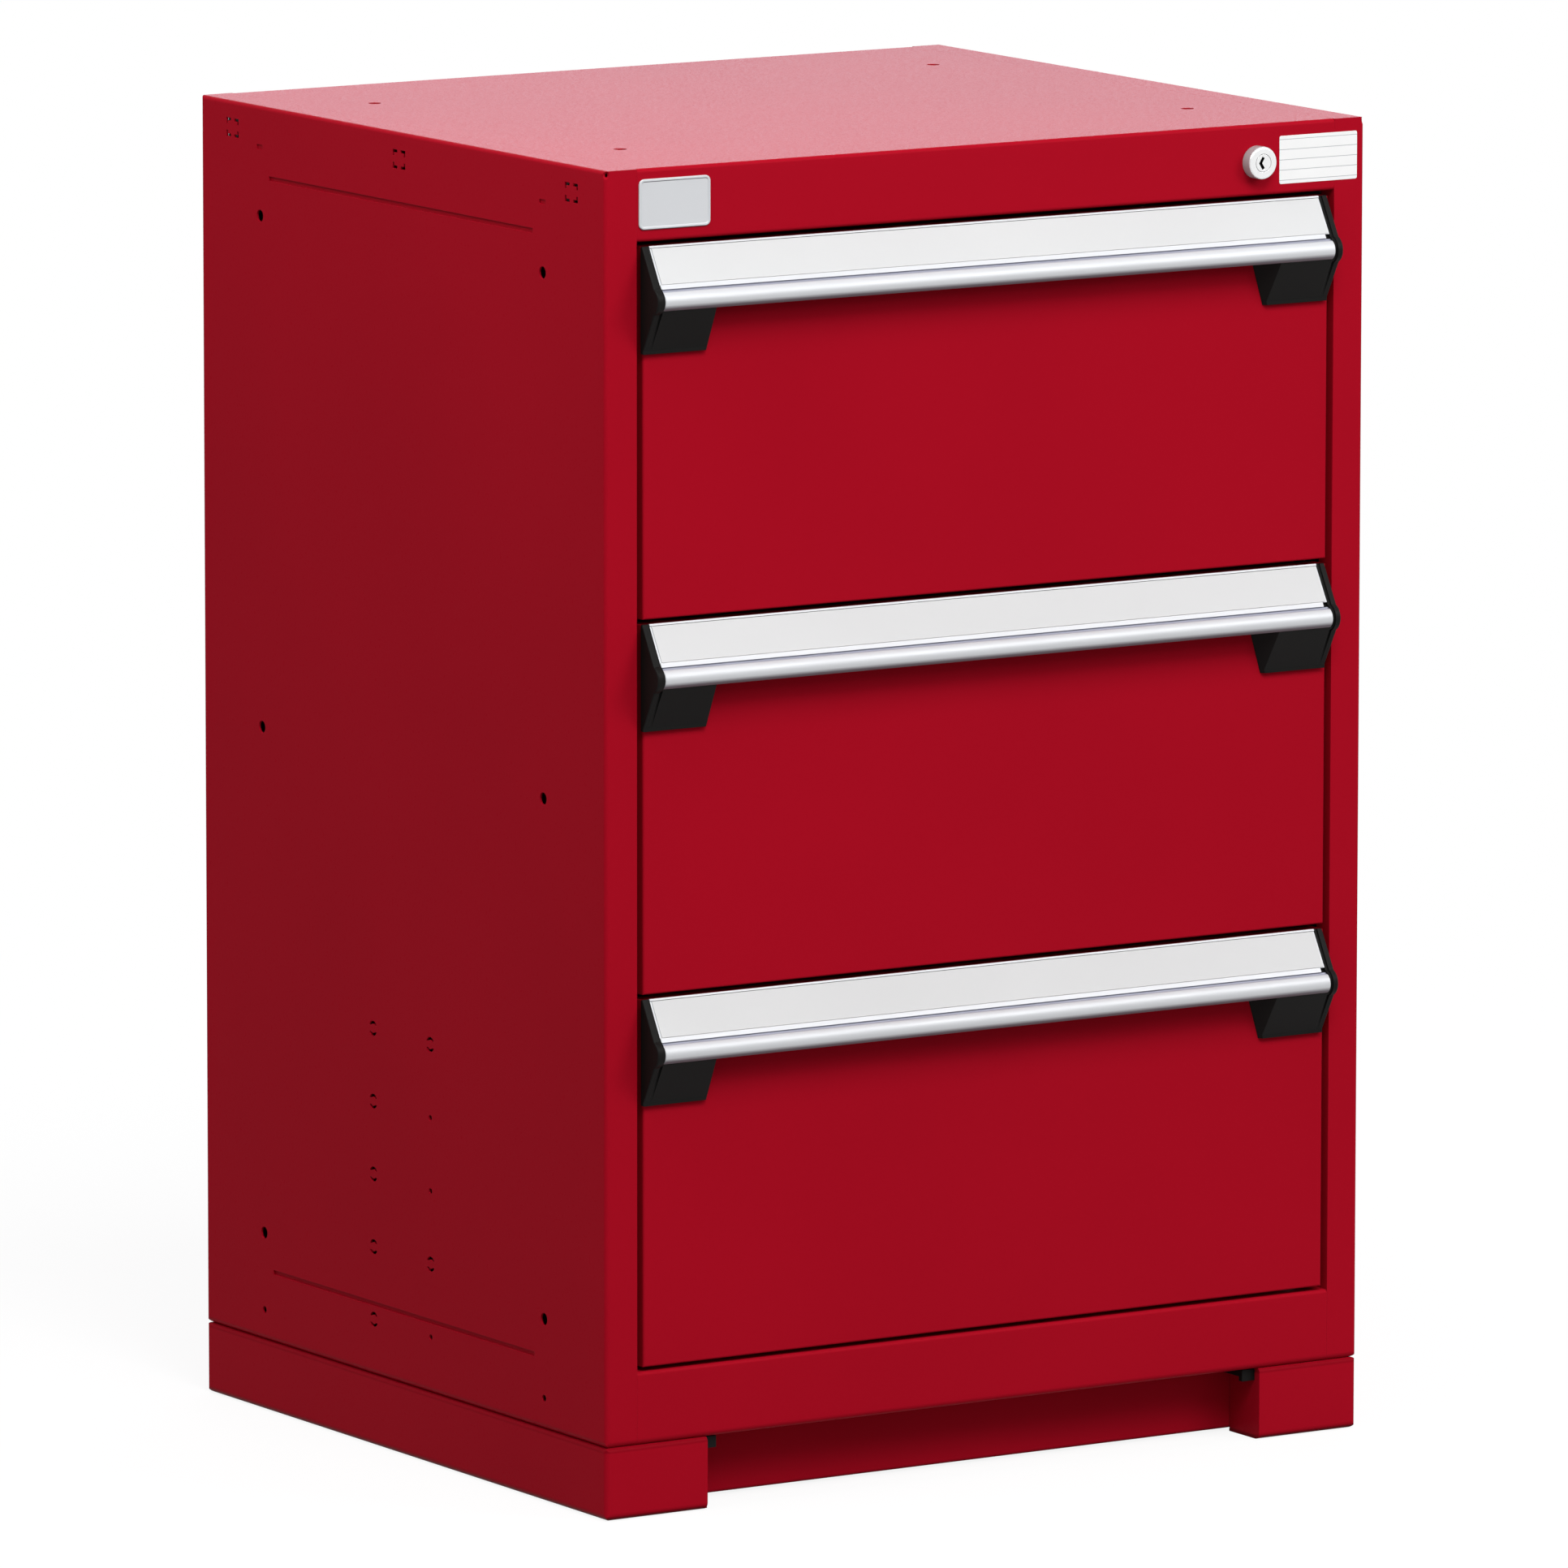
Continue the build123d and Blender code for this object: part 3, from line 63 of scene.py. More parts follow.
camera_data = bpy.data.cameras.new("portrait_camera")
camera_data.sensor_fit = "HORIZONTAL"
camera_data.sensor_width = SENSOR_MM
camera_data.lens = LENS_MM
camera = bpy.data.objects.new("portrait_camera", camera_data)
scene.collection.objects.link(camera)
camera_turn = (
    Matrix.Rotation(CAMERA_YAW, 3, "Z")
    @ Matrix.Rotation(CAMERA_PITCH, 3, "X")
    @ Matrix.Rotation(CAMERA_ROLL, 3, "Y")
    @ Matrix.Rotation(CAMERA_LEVEL, 3, "X")
)
camera.matrix_world = Matrix.Translation(CAMERA_PLACE) @ camera_turn.to_4x4()
scene.camera = camera
print("camera:", [round(v, 3) for v in CAMERA_PLACE], "lens", LENS_MM)

# %% [markdown]
# ## Small tools for shader nodes
# Every finish below is a tree of nodes. Built one line at a time, such a tree is long and hard to
# read, so a few short helpers come first: they add a node with its settings and values, join
# sockets, start a node group with named sockets, and place a group with its own values.

# %% Helpers for nodes and groups
FLOAT, VECTOR, COLOUR = "NodeSocketFloat", "NodeSocketVector", "NodeSocketColor"


def add_node(tree, kind, at, values=None, **settings):
    """Add a node at a place in the tree; settings are its properties, values its inputs."""
    node = tree.nodes.new(kind)
    node.location = at
    for name, value in settings.items():
        setattr(node, name, value)
    for socket, value in (values or {}).items():
        node.inputs[socket].default_value = value
    return node


def wire(tree, *links):
    """Join sockets in a tree; each link is (output, input)."""
    for source, target in links:
        tree.links.new(source, target)


def new_group(name, inputs, outputs):
    """Start a shader node group; inputs are (name, socket type, value), outputs (name, type)."""
    group = bpy.data.node_groups.new(name, "ShaderNodeTree")
    for label, kind, value in inputs:
        socket = group.interface.new_socket(label, in_out="INPUT", socket_type=kind)
        socket.default_value = value
    for label, kind in outputs:
        group.interface.new_socket(label, in_out="OUTPUT", socket_type=kind)
    start = add_node(group, "NodeGroupInput", (-800, 0))
    end = add_node(group, "NodeGroupOutput", (600, 0))
    return group, start, end


def place_group(tree, group, at, values):
    """Place a group in a tree with its own values."""
    return add_node(tree, "ShaderNodeGroup", at, values, node_tree=group, label=group.name)


print("node helpers ready")

# %% [markdown]
# ## Small tools for materials
# A material starts with its Principled shader. Values that are even, the same all over a surface,
# are set on that shader itself, and only what varies comes from other nodes. A noise texture
# seldom comes near 0 or 1, so its usual limits are named here, and a helper spreads it between
# wanted ones. Another mixes a plain colour into the one below it.

# %% Helpers for materials
NOISE_LOW, NOISE_HIGH = 0.3, 0.7  # a noise texture stays mostly between these


def new_material(name, even):
    """Start a material; even values go straight on the sockets of its Principled shader."""
    material = bpy.data.materials.new(name)
    material.use_nodes = True
    shader = material.node_tree.nodes["Principled BSDF"]
    for label, value in even.items():
        shader.inputs[label].default_value = value
    return material, material.node_tree, shader


def remap(tree, source, low, high, at, from_low=NOISE_LOW, from_high=NOISE_HIGH):
    """Spread a value between two limits; without other limits it is taken to be a noise."""
    limits = {"From Min": from_low, "From Max": from_high, "To Min": low, "To Max": high}
    node = add_node(tree, "ShaderNodeMapRange", at, limits)
    tree.links.new(source, node.inputs["Value"])
    return node.outputs["Result"]


def mix_colours(tree, mask, base, over, at):
    """Lay one colour over another by a mask; base is a socket, over a plain colour."""
    node = add_node(tree, "ShaderNodeMix", at, data_type="RGBA")
    first, second = (socket for socket in node.inputs if socket.type == "RGBA")
    second.default_value = (*over, 1.0)
    wire(tree, (mask, node.inputs["Factor"]), (base, first))
    return next(socket for socket in node.outputs if socket.type == "RGBA")


print("material helpers ready")

# %% [markdown]
# ## Grain
# Almost every finish has a fine irregular grain: the orange peel of powder paint, the drawn lines
# of an extrusion, the skin of a moulding, the fibres of card. A picture of each surface would do,
# but one noise texture serves them all, needs no file and does not repeat. The scale says how
# fine it is, and the stretch pulls it into lines. Object coordinates are in metres here, so a
# scale of 500 gives a grain of about two millimetres.

# %% Group: grain
GRAIN, start, end = new_group(
    "Grain",
    [("Scale", FLOAT, 500.0), ("Stretch", VECTOR, (1.0, 1.0, 1.0)), ("Detail", FLOAT, 2.0)],
    [("Value", FLOAT)],
)
where = add_node(GRAIN, "ShaderNodeTexCoord", (-800, 250))
stretch = add_node(GRAIN, "ShaderNodeVectorMath", (-500, 150), operation="MULTIPLY")
noise = add_node(GRAIN, "ShaderNodeTexNoise", (-200, 100))
wire(
    GRAIN,
    (where.outputs["Object"], stretch.inputs[0]),
    (start.outputs["Stretch"], stretch.inputs[1]),
    (stretch.outputs["Vector"], noise.inputs["Vector"]),
    (start.outputs["Scale"], noise.inputs["Scale"]),
    (start.outputs["Detail"], noise.inputs["Detail"]),
    (noise.outputs["Fac"], end.inputs["Value"]),
)
print("group:", GRAIN.name)

# %% [markdown]
# ## Uneven tone
# A real coat is never quite one colour. This group makes a colour a little lighter and darker in
# broad soft patches. Mixing in some grey would do that too, but it dulls the colour, so the group
# multiplies it instead and the hue stays the same.

# %% Group: uneven tone
UNEVEN_TONE, start, end = new_group(
    "Uneven tone",
    [("Colour", COLOUR, (0.5, 0.5, 0.5, 1.0)), ("Shift", FLOAT, 0.04), ("Scale", FLOAT, 5.0)],
    [("Colour", COLOUR)],
)
noise_limits = {"From Min": NOISE_LOW, "From Max": NOISE_HIGH}
patches = place_group(UNEVEN_TONE, GRAIN, (-550, 200), {"Detail": 3.0})
lower = add_node(UNEVEN_TONE, "ShaderNodeMath", (-400, -50), {0: 1.0}, operation="SUBTRACT")
upper = add_node(UNEVEN_TONE, "ShaderNodeMath", (-400, -220), {0: 1.0}, operation="ADD")
spread = add_node(UNEVEN_TONE, "ShaderNodeMapRange", (-100, 100), noise_limits)
shade = add_node(UNEVEN_TONE, "ShaderNodeVectorMath", (250, 0), operation="SCALE")
wire(
    UNEVEN_TONE,
    (start.outputs["Scale"], patches.inputs["Scale"]),
    (start.outputs["Shift"], lower.inputs[1]),
    (start.outputs["Shift"], upper.inputs[1]),
    (patches.outputs["Value"], spread.inputs["Value"]),
    (lower.outputs["Value"], spread.inputs["To Min"]),
    (upper.outputs["Value"], spread.inputs["To Max"]),
    (start.outputs["Colour"], shade.inputs[0]),
    (spread.outputs["Result"], shade.inputs["Scale"]),
    (shade.outputs["Vector"], end.inputs["Colour"]),
)
print("group:", UNEVEN_TONE.name)

# %% [markdown]
# ## Edges
# Paint draws back from a sharp edge and handling polishes it, so edges are worn lighter, and the
# lighter edge colour is also a painted highlight, a thin line of light. The Bevel node gives the
# normal of an edge as if it were rounded. Where that normal leaves the true one, an edge is near,
# and the difference makes a mask. The pointiness of a mesh is quicker to read, but it needs more
# points than flat panels have. The rounded normal itself is useful too: it gives cut sheet the
# soft glint of a real edge.

# %% Group: edges
BEVEL_SAMPLES = 4

EDGES, start, end = new_group(
    "Edges",
    [("Radius", FLOAT, 0.0008), ("Gain", FLOAT, 3.0)],
    [("Mask", FLOAT), ("Normal", VECTOR)],
)
rounded = add_node(EDGES, "ShaderNodeBevel", (-500, 100), samples=BEVEL_SAMPLES)
geometry = add_node(EDGES, "ShaderNodeNewGeometry", (-500, -150))
agree = add_node(EDGES, "ShaderNodeVectorMath", (-250, 0), operation="DOT_PRODUCT")
differ = add_node(EDGES, "ShaderNodeMath", (0, 0), {0: 1.0}, operation="SUBTRACT")
strong = add_node(EDGES, "ShaderNodeMath", (250, 0), operation="MULTIPLY", use_clamp=True)
wire(
    EDGES,
    (start.outputs["Radius"], rounded.inputs["Radius"]),
    (rounded.outputs["Normal"], agree.inputs[0]),
    (geometry.outputs["Normal"], agree.inputs[1]),
    (agree.outputs["Value"], differ.inputs[1]),
    (differ.outputs["Value"], strong.inputs[0]),
    (start.outputs["Gain"], strong.inputs[1]),
    (strong.outputs["Value"], end.inputs["Mask"]),
    (rounded.outputs["Normal"], end.inputs["Normal"]),
)
print("group:", EDGES.name)

# %% [markdown]
# ## Turning rings
# The face of a lock is turned on a lathe, which leaves very fine rings around its middle. A ring
# pattern needs only the distance from the axis. The lock points along Y, so that distance is
# taken in X and Z, and a noise read along it gives rings of uneven strength. The same distance
# tells what lies inside a bore.

# %% Group: turning rings
ACROSS_THE_AXIS = (1.0, 0.0, 1.0)

TURNING, start, end = new_group(
    "Turning rings",
    [("Middle", VECTOR, (0.0, 0.0, 0.0)), ("Scale", FLOAT, 4000.0), ("Bore", FLOAT, 0.0)],
    [("Value", FLOAT), ("Inside", FLOAT)],
)
where = add_node(TURNING, "ShaderNodeTexCoord", (-800, 250))
offset = add_node(TURNING, "ShaderNodeVectorMath", (-600, 150), operation="SUBTRACT")
flat = add_node(
    TURNING, "ShaderNodeVectorMath", (-420, 150), {1: ACROSS_THE_AXIS}, operation="MULTIPLY"
)
distance = add_node(TURNING, "ShaderNodeVectorMath", (-240, 150), operation="LENGTH")
rings = add_node(
    TURNING, "ShaderNodeTexNoise", (100, 100), {"Detail": 3.0}, noise_dimensions="1D"
)
inside = add_node(TURNING, "ShaderNodeMath", (100, -100), operation="LESS_THAN")
wire(
    TURNING,
    (where.outputs["Object"], offset.inputs[0]),
    (start.outputs["Middle"], offset.inputs[1]),
    (offset.outputs["Vector"], flat.inputs[0]),
    (flat.outputs["Vector"], distance.inputs[0]),
    (distance.outputs["Value"], rings.inputs["W"]),
    (start.outputs["Scale"], rings.inputs["Scale"]),
    (rings.outputs["Fac"], end.inputs["Value"]),
    (distance.outputs["Value"], inside.inputs[0]),
    (start.outputs["Bore"], inside.inputs[1]),
    (inside.outputs["Value"], end.inputs["Inside"]),
)
print("group:", TURNING.name)

# %% [markdown]
# ## Direction of a surface
# Some finishes depend on which way a surface looks. The round side of the lock is plainer than
# its face, and the underside of a handle, which looks at the dark gap below it, gets a painted
# shade that makes it greyer than its top. The group compares the normal with an axis and spreads
# the result between two limits.

# %% Group: direction of a surface
FACING, start, end = new_group(
    "Direction of a surface",
    [("Axis", VECTOR, (0.0, 0.0, 1.0)), ("Low", FLOAT, 0.0), ("High", FLOAT, 1.0)],
    [("Mask", FLOAT)],
)
where = add_node(FACING, "ShaderNodeTexCoord", (-600, 250))
along = add_node(FACING, "ShaderNodeVectorMath", (-400, 150), operation="DOT_PRODUCT")
spread = add_node(FACING, "ShaderNodeMapRange", (-150, 100))
wire(
    FACING,
    (where.outputs["Normal"], along.inputs[0]),
    (start.outputs["Axis"], along.inputs[1]),
    (along.outputs["Value"], spread.inputs["Value"]),
    (start.outputs["Low"], spread.inputs["From Min"]),
    (start.outputs["High"], spread.inputs["From Max"]),
    (spread.outputs["Result"], end.inputs["Mask"]),
)
print("group:", FACING.name)

# %% [markdown]
# ## Bands at steps of height
# The three handles are alike and hang at equal steps. A band at one height below the top of each
# is found by the height alone: the distance below the first top, wrapped around at every step.
# Its edges fade out. With a step taller than the cabinet the same group draws a single band.

# %% Group: bands at steps of height
BAND_CORE = 0.5  # share of the half width that has the full strength

BANDS, start, end = new_group(
    "Bands at steps of height",
    [
        ("Top", FLOAT, 0.0),
        ("Step", FLOAT, 1.0),
        ("Below", FLOAT, 0.0),
        ("Half width", FLOAT, 0.001),
    ],
    [("Mask", FLOAT)],
)
where = add_node(BANDS, "ShaderNodeTexCoord", (-800, 250))
height = add_node(BANDS, "ShaderNodeSeparateXYZ", (-600, 200))
fall = add_node(BANDS, "ShaderNodeMath", (-400, 150), operation="SUBTRACT")
wrapped = add_node(BANDS, "ShaderNodeMath", (-200, 100), operation="MODULO")
aside = add_node(BANDS, "ShaderNodeMath", (0, 50), operation="SUBTRACT")
distance = add_node(BANDS, "ShaderNodeMath", (200, 50), operation="ABSOLUTE")
core = add_node(BANDS, "ShaderNodeMath", (200, -150), {1: BAND_CORE}, operation="MULTIPLY")
band = add_node(BANDS, "ShaderNodeMapRange", (400, 50))
wire(
    BANDS,
    (where.outputs["Object"], height.inputs[0]),
    (start.outputs["Top"], fall.inputs[0]),
    (height.outputs["Z"], fall.inputs[1]),
    (fall.outputs["Value"], wrapped.inputs[0]),
    (start.outputs["Step"], wrapped.inputs[1]),
    (wrapped.outputs["Value"], aside.inputs[0]),
    (start.outputs["Below"], aside.inputs[1]),
    (aside.outputs["Value"], distance.inputs[0]),
    (start.outputs["Half width"], core.inputs[0]),
    (distance.outputs["Value"], band.inputs["Value"]),
    (start.outputs["Half width"], band.inputs["From Min"]),
    (core.outputs["Value"], band.inputs["From Max"]),
    (band.outputs["Result"], end.inputs["Mask"]),
)
print("group:", BANDS.name)

# %% [markdown]
# ## A finish from parts
# Most finishes are put together the same way: an uneven colour that turns lighter along the
# edges, where it is worn and carries a painted highlight, a roughness that wanders with the
# grain, and the grain again as a very low relief on a normal that is rounded at the edges. One
# function builds that tree, and each finish passes its own values.

# %% Build a finish
def build_finish(
    name,
    colour,
    edge_wear_and_highlight,
    roughness,
    relief,
    grain=None,
    rings=None,
    tone=(0.04, 5.0),
    edge=(0.0008, 1.5),
    **even,
):
    """Make a finish with grain or rings; tone is (shift, scale), edge is (radius, gain)."""
    even = {label.replace("_", " "): value for label, value in even.items()}
    material, tree, shader = new_material(name, even)
    if rings:
        skin = place_group(tree, TURNING, (-900, -250), rings)
    else:
        skin = place_group(tree, GRAIN, (-900, -250), grain)
    edges = place_group(tree, EDGES, (-900, -500), {"Radius": edge[0], "Gain": edge[1]})
    body_values = {"Colour": (*colour, 1.0), "Shift": tone[0], "Scale": tone[1]}
    body = place_group(tree, UNEVEN_TONE, (-900, 250), body_values)
    edge_mask, body_colour = edges.outputs["Mask"], body.outputs["Colour"]
    # The edge colour is worn paint and a painted highlight along the edges.
    tinted = mix_colours(tree, edge_mask, body_colour, edge_wear_and_highlight, (-500, 250))
    wandering = remap(tree, skin.outputs["Value"], *roughness, (-500, 0))
    bump = add_node(tree, "ShaderNodeBump", (-300, -350), {"Strength": 1.0, "Distance": relief})
    wire(
        tree,
        (tinted, shader.inputs["Base Color"]),
        (wandering, shader.inputs["Roughness"]),
        (skin.outputs["Value"], bump.inputs["Height"]),
        (edges.outputs["Normal"], bump.inputs["Normal"]),
        (bump.outputs["Normal"], shader.inputs["Normal"]),
    )
    return material


print("finish builder ready")

# %% [markdown]
# ## A colour over a finish
# Some places of a finish have another colour: painted shade at a seam, along the lowest edge of
# the base, in a groove and inside a keyway. A second material would need a cut in the mesh around
# each of them, and a mask needs none. One function lays a plain colour over a finish by a mask,
# and another does so with a band of height.

# %% Lay a colour over a finish
def main_shader(tree):
    """Find the Principled shader of a material."""
    return next(node for node in tree.nodes if node.bl_idname == "ShaderNodeBsdfPrincipled")


def lay_over(material, mask, colour, at):
    """Lay a plain colour over a finish where the mask is one."""
    tree = material.node_tree
    shader = main_shader(tree)
    below = shader.inputs["Base Color"].links[0].from_socket
    tree.links.new(mix_colours(tree, mask, below, colour, at), shader.inputs["Base Color"])


def lay_band(material, top, step, below, half_width, colour, at):
    """Lay a band of a plain colour over a finish, some way below a top and its repeats."""
    values = {"Top": top, "Step": step, "Below": below, "Half width": half_width}
    band = place_group(material.node_tree, BANDS, (at[0] - 600, at[1] + 350), values)
    lay_over(material, band.outputs["Mask"], colour, at)


print("overlays ready")

# %% [markdown]
# ## Red powder paint
# The panels and drawers are powder coated. The powder melts into a skin with a faint orange peel,
# waves of two or three millimetres and a few hundredths high. Seen flat on, the red is deep. Seen
# almost along the surface, as the top is here, it mirrors the white room and turns pink, and the
# shader's own Fresnel gives that. The paint is darker along the seam where the cabinet stands on
# its base, a painted shade over the lit rounded top edge of the base, and along the lowest edge
# of the base, a painted contact shadow.

# %% Finish: red powder paint
# Painted shade over the lit rounded top edge of the base, at the seam under the cabinet.
SEAM_BELOW, SEAM_HALF_WIDTH, SEAM_PAINTED_SHADE = 0.0018, 0.0020, (0.245, 0.0027, 0.0097)
# Painted contact shadow along the lowest edge of the base.
FOOT_HALF_WIDTH, FOOT_PAINTED_SHADOW = 0.0034, (0.16, 0.0018, 0.0064)
SINGLE_BAND = 2.0  # a step taller than the cabinet

RED_PAINT = build_finish(
    "red_powder_paint",
    colour=(0.35, 0.0038, 0.0138),
    edge_wear_and_highlight=(0.39, 0.0055, 0.018),
    roughness=(0.26, 0.36),
    grain={"Scale": 420.0, "Detail": 2.0},
    relief=0.00003,
    tone=(0.03, 4.0),
    edge=(0.0006, 0.8),
    IOR=1.055,
)
base_low, base_high = (corner.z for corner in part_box("base_side_left"))
base_tall = base_high - base_low
for below, half_width, shade, at in (
    (SEAM_BELOW, SEAM_HALF_WIDTH, SEAM_PAINTED_SHADE, (-300, 450)),
    (base_tall, FOOT_HALF_WIDTH, FOOT_PAINTED_SHADOW, (-300, 700)),
):
    lay_band(RED_PAINT, base_high, SINGLE_BAND, below, half_width, shade, at)
print("finish:", RED_PAINT.name)

# %% [markdown]
# ## Aluminium of the handles
# The handles are extruded, so the die leaves fine lines along their length, and the anodised skin
# is satin, neither mirror nor matt. The grain is stretched along X to draw those lines. The
# underside of the lip and the narrow groove below the label see little light, and painted shade
# makes them greyer.

# %% Finish: satin aluminium
LIP_PAINTED_SHADE, LIP_LOW, LIP_HIGH = (0.15, 0.135, 0.155), 0.28, 0.62
GROOVE_BELOW_TOP, GROOVE_HALF_WIDTH, GROOVE_PAINTED_SHADE = 0.0284, 0.0012, (0.30, 0.31, 0.38)
DOWN = (0.0, 0.0, -1.0)

ALUMINIUM = build_finish(
    "satin_aluminium",
    colour=(0.56, 0.57, 0.59),
    edge_wear_and_highlight=(0.66, 0.67, 0.69),
    roughness=(0.40, 0.52),
    grain={"Scale": 1600.0, "Stretch": (0.015, 1.0, 1.0), "Detail": 2.0},
    relief=0.000008,
    tone=(0.02, 3.0),
    edge=(0.0005, 1.5),
    Metallic=0.25,
    Specular_IOR_Level=0.25,
)
lip_values = {"Axis": DOWN, "Low": LIP_LOW, "High": LIP_HIGH}
underside = place_group(ALUMINIUM.node_tree, FACING, (-900, 550), lip_values)
# Painted shade greys the underside of the lip.
lay_over(ALUMINIUM, underside.outputs["Mask"], LIP_PAINTED_SHADE, (-300, 450))
handle_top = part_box("drawer_1_handle")[1].z
handle_step = handle_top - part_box("drawer_2_handle")[1].z
# Painted shade darkens the groove below the label of each handle.
lay_band(
    ALUMINIUM,
    handle_top,
    handle_step,
    GROOVE_BELOW_TOP,
    GROOVE_HALF_WIDTH,
    GROOVE_PAINTED_SHADE,
    (-150, 450),
)
print("finish:", ALUMINIUM.name)

# %% [markdown]
# ## Black mouldings
# The handle ends and the small clips of the kick panel are moulded in black plastic. The mould is
# lightly spark eroded, so the skin has a very fine even texture and a dull sheen. A darker colour
# alone would not weaken the sheen, so the refractive index is set low as well.

# %% Finish: black plastic
BLACK_PLASTIC = build_finish(
    "black_moulded_plastic",
    colour=(0.0064, 0.0062, 0.0059),
    edge_wear_and_highlight=(0.014, 0.014, 0.014),
    roughness=(0.38, 0.52),
    grain={"Scale": 2200.0, "Detail": 1.0},
    relief=0.00003,
    tone=(0.08, 20.0),
    edge=(0.0006, 1.2),
    IOR=1.16,
)
print("finish:", BLACK_PLASTIC.name)

# %% [markdown]
# ## Label card
# A strip of plain card lies in the sloped face of each handle. Card is pale and matt, with short
# fibres that run along the strip. The stretched grain draws them, as it draws the lines of the
# aluminium, only shorter.

# %% Finish: label card
LABEL_CARD = build_finish(
    "label_card",
    colour=(0.553, 0.558, 0.562),
    edge_wear_and_highlight=(0.66, 0.66, 0.66),
    roughness=(0.48, 0.62),
    grain={"Scale": 1400.0, "Stretch": (0.25, 1.0, 1.0), "Detail": 3.0},
    relief=0.00001,
    tone=(0.015, 9.0),
    edge=(0.0003, 1.0),
)
print("finish:", LABEL_CARD.name)

# %% [markdown]
# ## Zinc, nylon and rubber
# The slides, bolts and lock bar are zinc plated, a cool grey with cloudy patches. The glides are
# milky nylon and the stops at the back are soft black rubber. They are small and mostly hidden,
# so the same builder serves all three, and only the values differ.

# %% Finishes of the small parts
ZINC_STEEL = build_finish(
    "zinc_plated_steel",
    colour=(0.56, 0.58, 0.60),
    edge_wear_and_highlight=(0.72, 0.73, 0.74),
    roughness=(0.26, 0.44),
    grain={"Scale": 130.0, "Detail": 3.0},
    relief=0.00001,
    tone=(0.14, 45.0),
    Metallic=1.0,
)
NYLON = build_finish(
    "milky_nylon",
    colour=(0.74, 0.72, 0.65),
    edge_wear_and_highlight=(0.82, 0.80, 0.74),
    roughness=(0.34, 0.46),
    grain={"Scale": 900.0, "Detail": 2.0},
    relief=0.00001,
    IOR=1.53,
)
RUBBER = build_finish(
    "soft_black_rubber",
    colour=(0.018, 0.018, 0.019),
    edge_wear_and_highlight=(0.04, 0.04, 0.04),
    roughness=(0.68, 0.84),
    grain={"Scale": 700.0, "Detail": 4.0},
    relief=0.00004,
)
print("finishes:", [material.name for material in (ZINC_STEEL, NYLON, RUBBER)])

# %% [markdown]
# ## Chrome of the lock
# The lock is chrome over turned brass, brighter and smoother than the zinc, with rings on its
# face. Its round side is duller than its face, and painted shade makes the walls of the keyway
# black. Both are found by the way the surface looks: what does not look forward is a side, and a
# side near the axis is the keyway.

# %% Finish: lock chrome
LOCK_LOW, LOCK_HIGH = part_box("lock_plug")
LOCK_MIDDLE = tuple((LOCK_LOW + LOCK_HIGH) / 2)
LOCK_SIDE_GREY, LOCK_SIDE_METAL = (0.40, 0.40, 0.41), 0.1
KEYWAY_PAINTED_SHADE, KEYWAY_REACH = (0.006, 0.006, 0.006), 0.0055
FORWARD = (0.0, -1.0, 0.0)

CHROME = build_finish(
    "lock_chrome",
    colour=(0.86, 0.865, 0.87),
    edge_wear_and_highlight=(0.95, 0.95, 0.95),
    roughness=(0.14, 0.26),
    relief=0.000006,
    rings={"Middle": LOCK_MIDDLE, "Scale": 4000.0},
    tone=(0.02, 60.0),
    edge=(0.0004, 1.0),
    Metallic=1.0,
)
tree = CHROME.node_tree
side = place_group(tree, FACING, (-900, 550), {"Axis": FORWARD, "Low": 1.0, "High": 0.0})
bore = place_group(tree, TURNING, (-900, 800), {"Middle": LOCK_MIDDLE, "Bore": KEYWAY_REACH})
keyway = add_node(tree, "ShaderNodeMath", (-600, 700), operation="MULTIPLY")
wire(
    tree,
    (side.outputs["Mask"], keyway.inputs[0]),
    (bore.outputs["Inside"], keyway.inputs[1]),
)
lay_over(CHROME, side.outputs["Mask"], LOCK_SIDE_GREY, (-300, 450))
# Painted shade blackens the walls of the keyway.
lay_over(CHROME, keyway.outputs["Value"], KEYWAY_PAINTED_SHADE, (-150, 450))
metal = remap(tree, side.outputs["Mask"], 1.0, LOCK_SIDE_METAL, (-300, 650), 0.0, 1.0)
tree.links.new(metal, main_shader(tree).inputs["Metallic"])
print("finish:", CHROME.name)

# %% [markdown]
# ## Put the finishes on the CAD pieces
# Each CAD piece arrives with a plain material named after its slot in the record. The slot stays,
# and only the material in it is exchanged.

# %% Exchange the plain materials
FINISHES = {
    "red_paint": RED_PAINT,
    "aluminium": ALUMINIUM,
    "black_plastic": BLACK_PLASTIC,
    "label_card": LABEL_CARD,
    "zinc_steel": ZINC_STEEL,
    "chrome": CHROME,
    "nylon": NYLON,
    "rubber": RUBBER,
}
for piece in nodes.values():
    for slot in piece.material_slots:
        slot.material = FINISHES[slot.material.name.split(".")[0]]
print("dressed:", len(nodes), "pieces")

# %% [markdown]
# ## A room that looks white
# The camera, mirrors and glass see the room as white, while the light that it throws on the
# cabinet stays at a plain level. The Light Path node tells the two kinds of ray apart, and the
# floor below uses the same test.

# %% Room
ROOM_LIGHT = 0.42
WHITE = (1.0, 1.0, 1.0)


def seen_directly(tree, at):
    """One where the camera, a mirror or glass looks at the surface, zero for light it gives."""
    path = add_node(tree, "ShaderNodeLightPath", at)
    place_1, place_2 = (at[0] + 200, at[1]), (at[0] + 400, at[1])
    first = add_node(tree, "ShaderNodeMath", place_1, operation="ADD", use_clamp=True)
    second = add_node(tree, "ShaderNodeMath", place_2, operation="ADD", use_clamp=True)
    wire(
        tree,
        (path.outputs["Is Camera Ray"], first.inputs[0]),
        (path.outputs["Is Glossy Ray"], first.inputs[1]),
        (first.outputs["Value"], second.inputs[0]),
        (path.outputs["Is Transmission Ray"], second.inputs[1]),
    )
    return second.outputs["Value"]


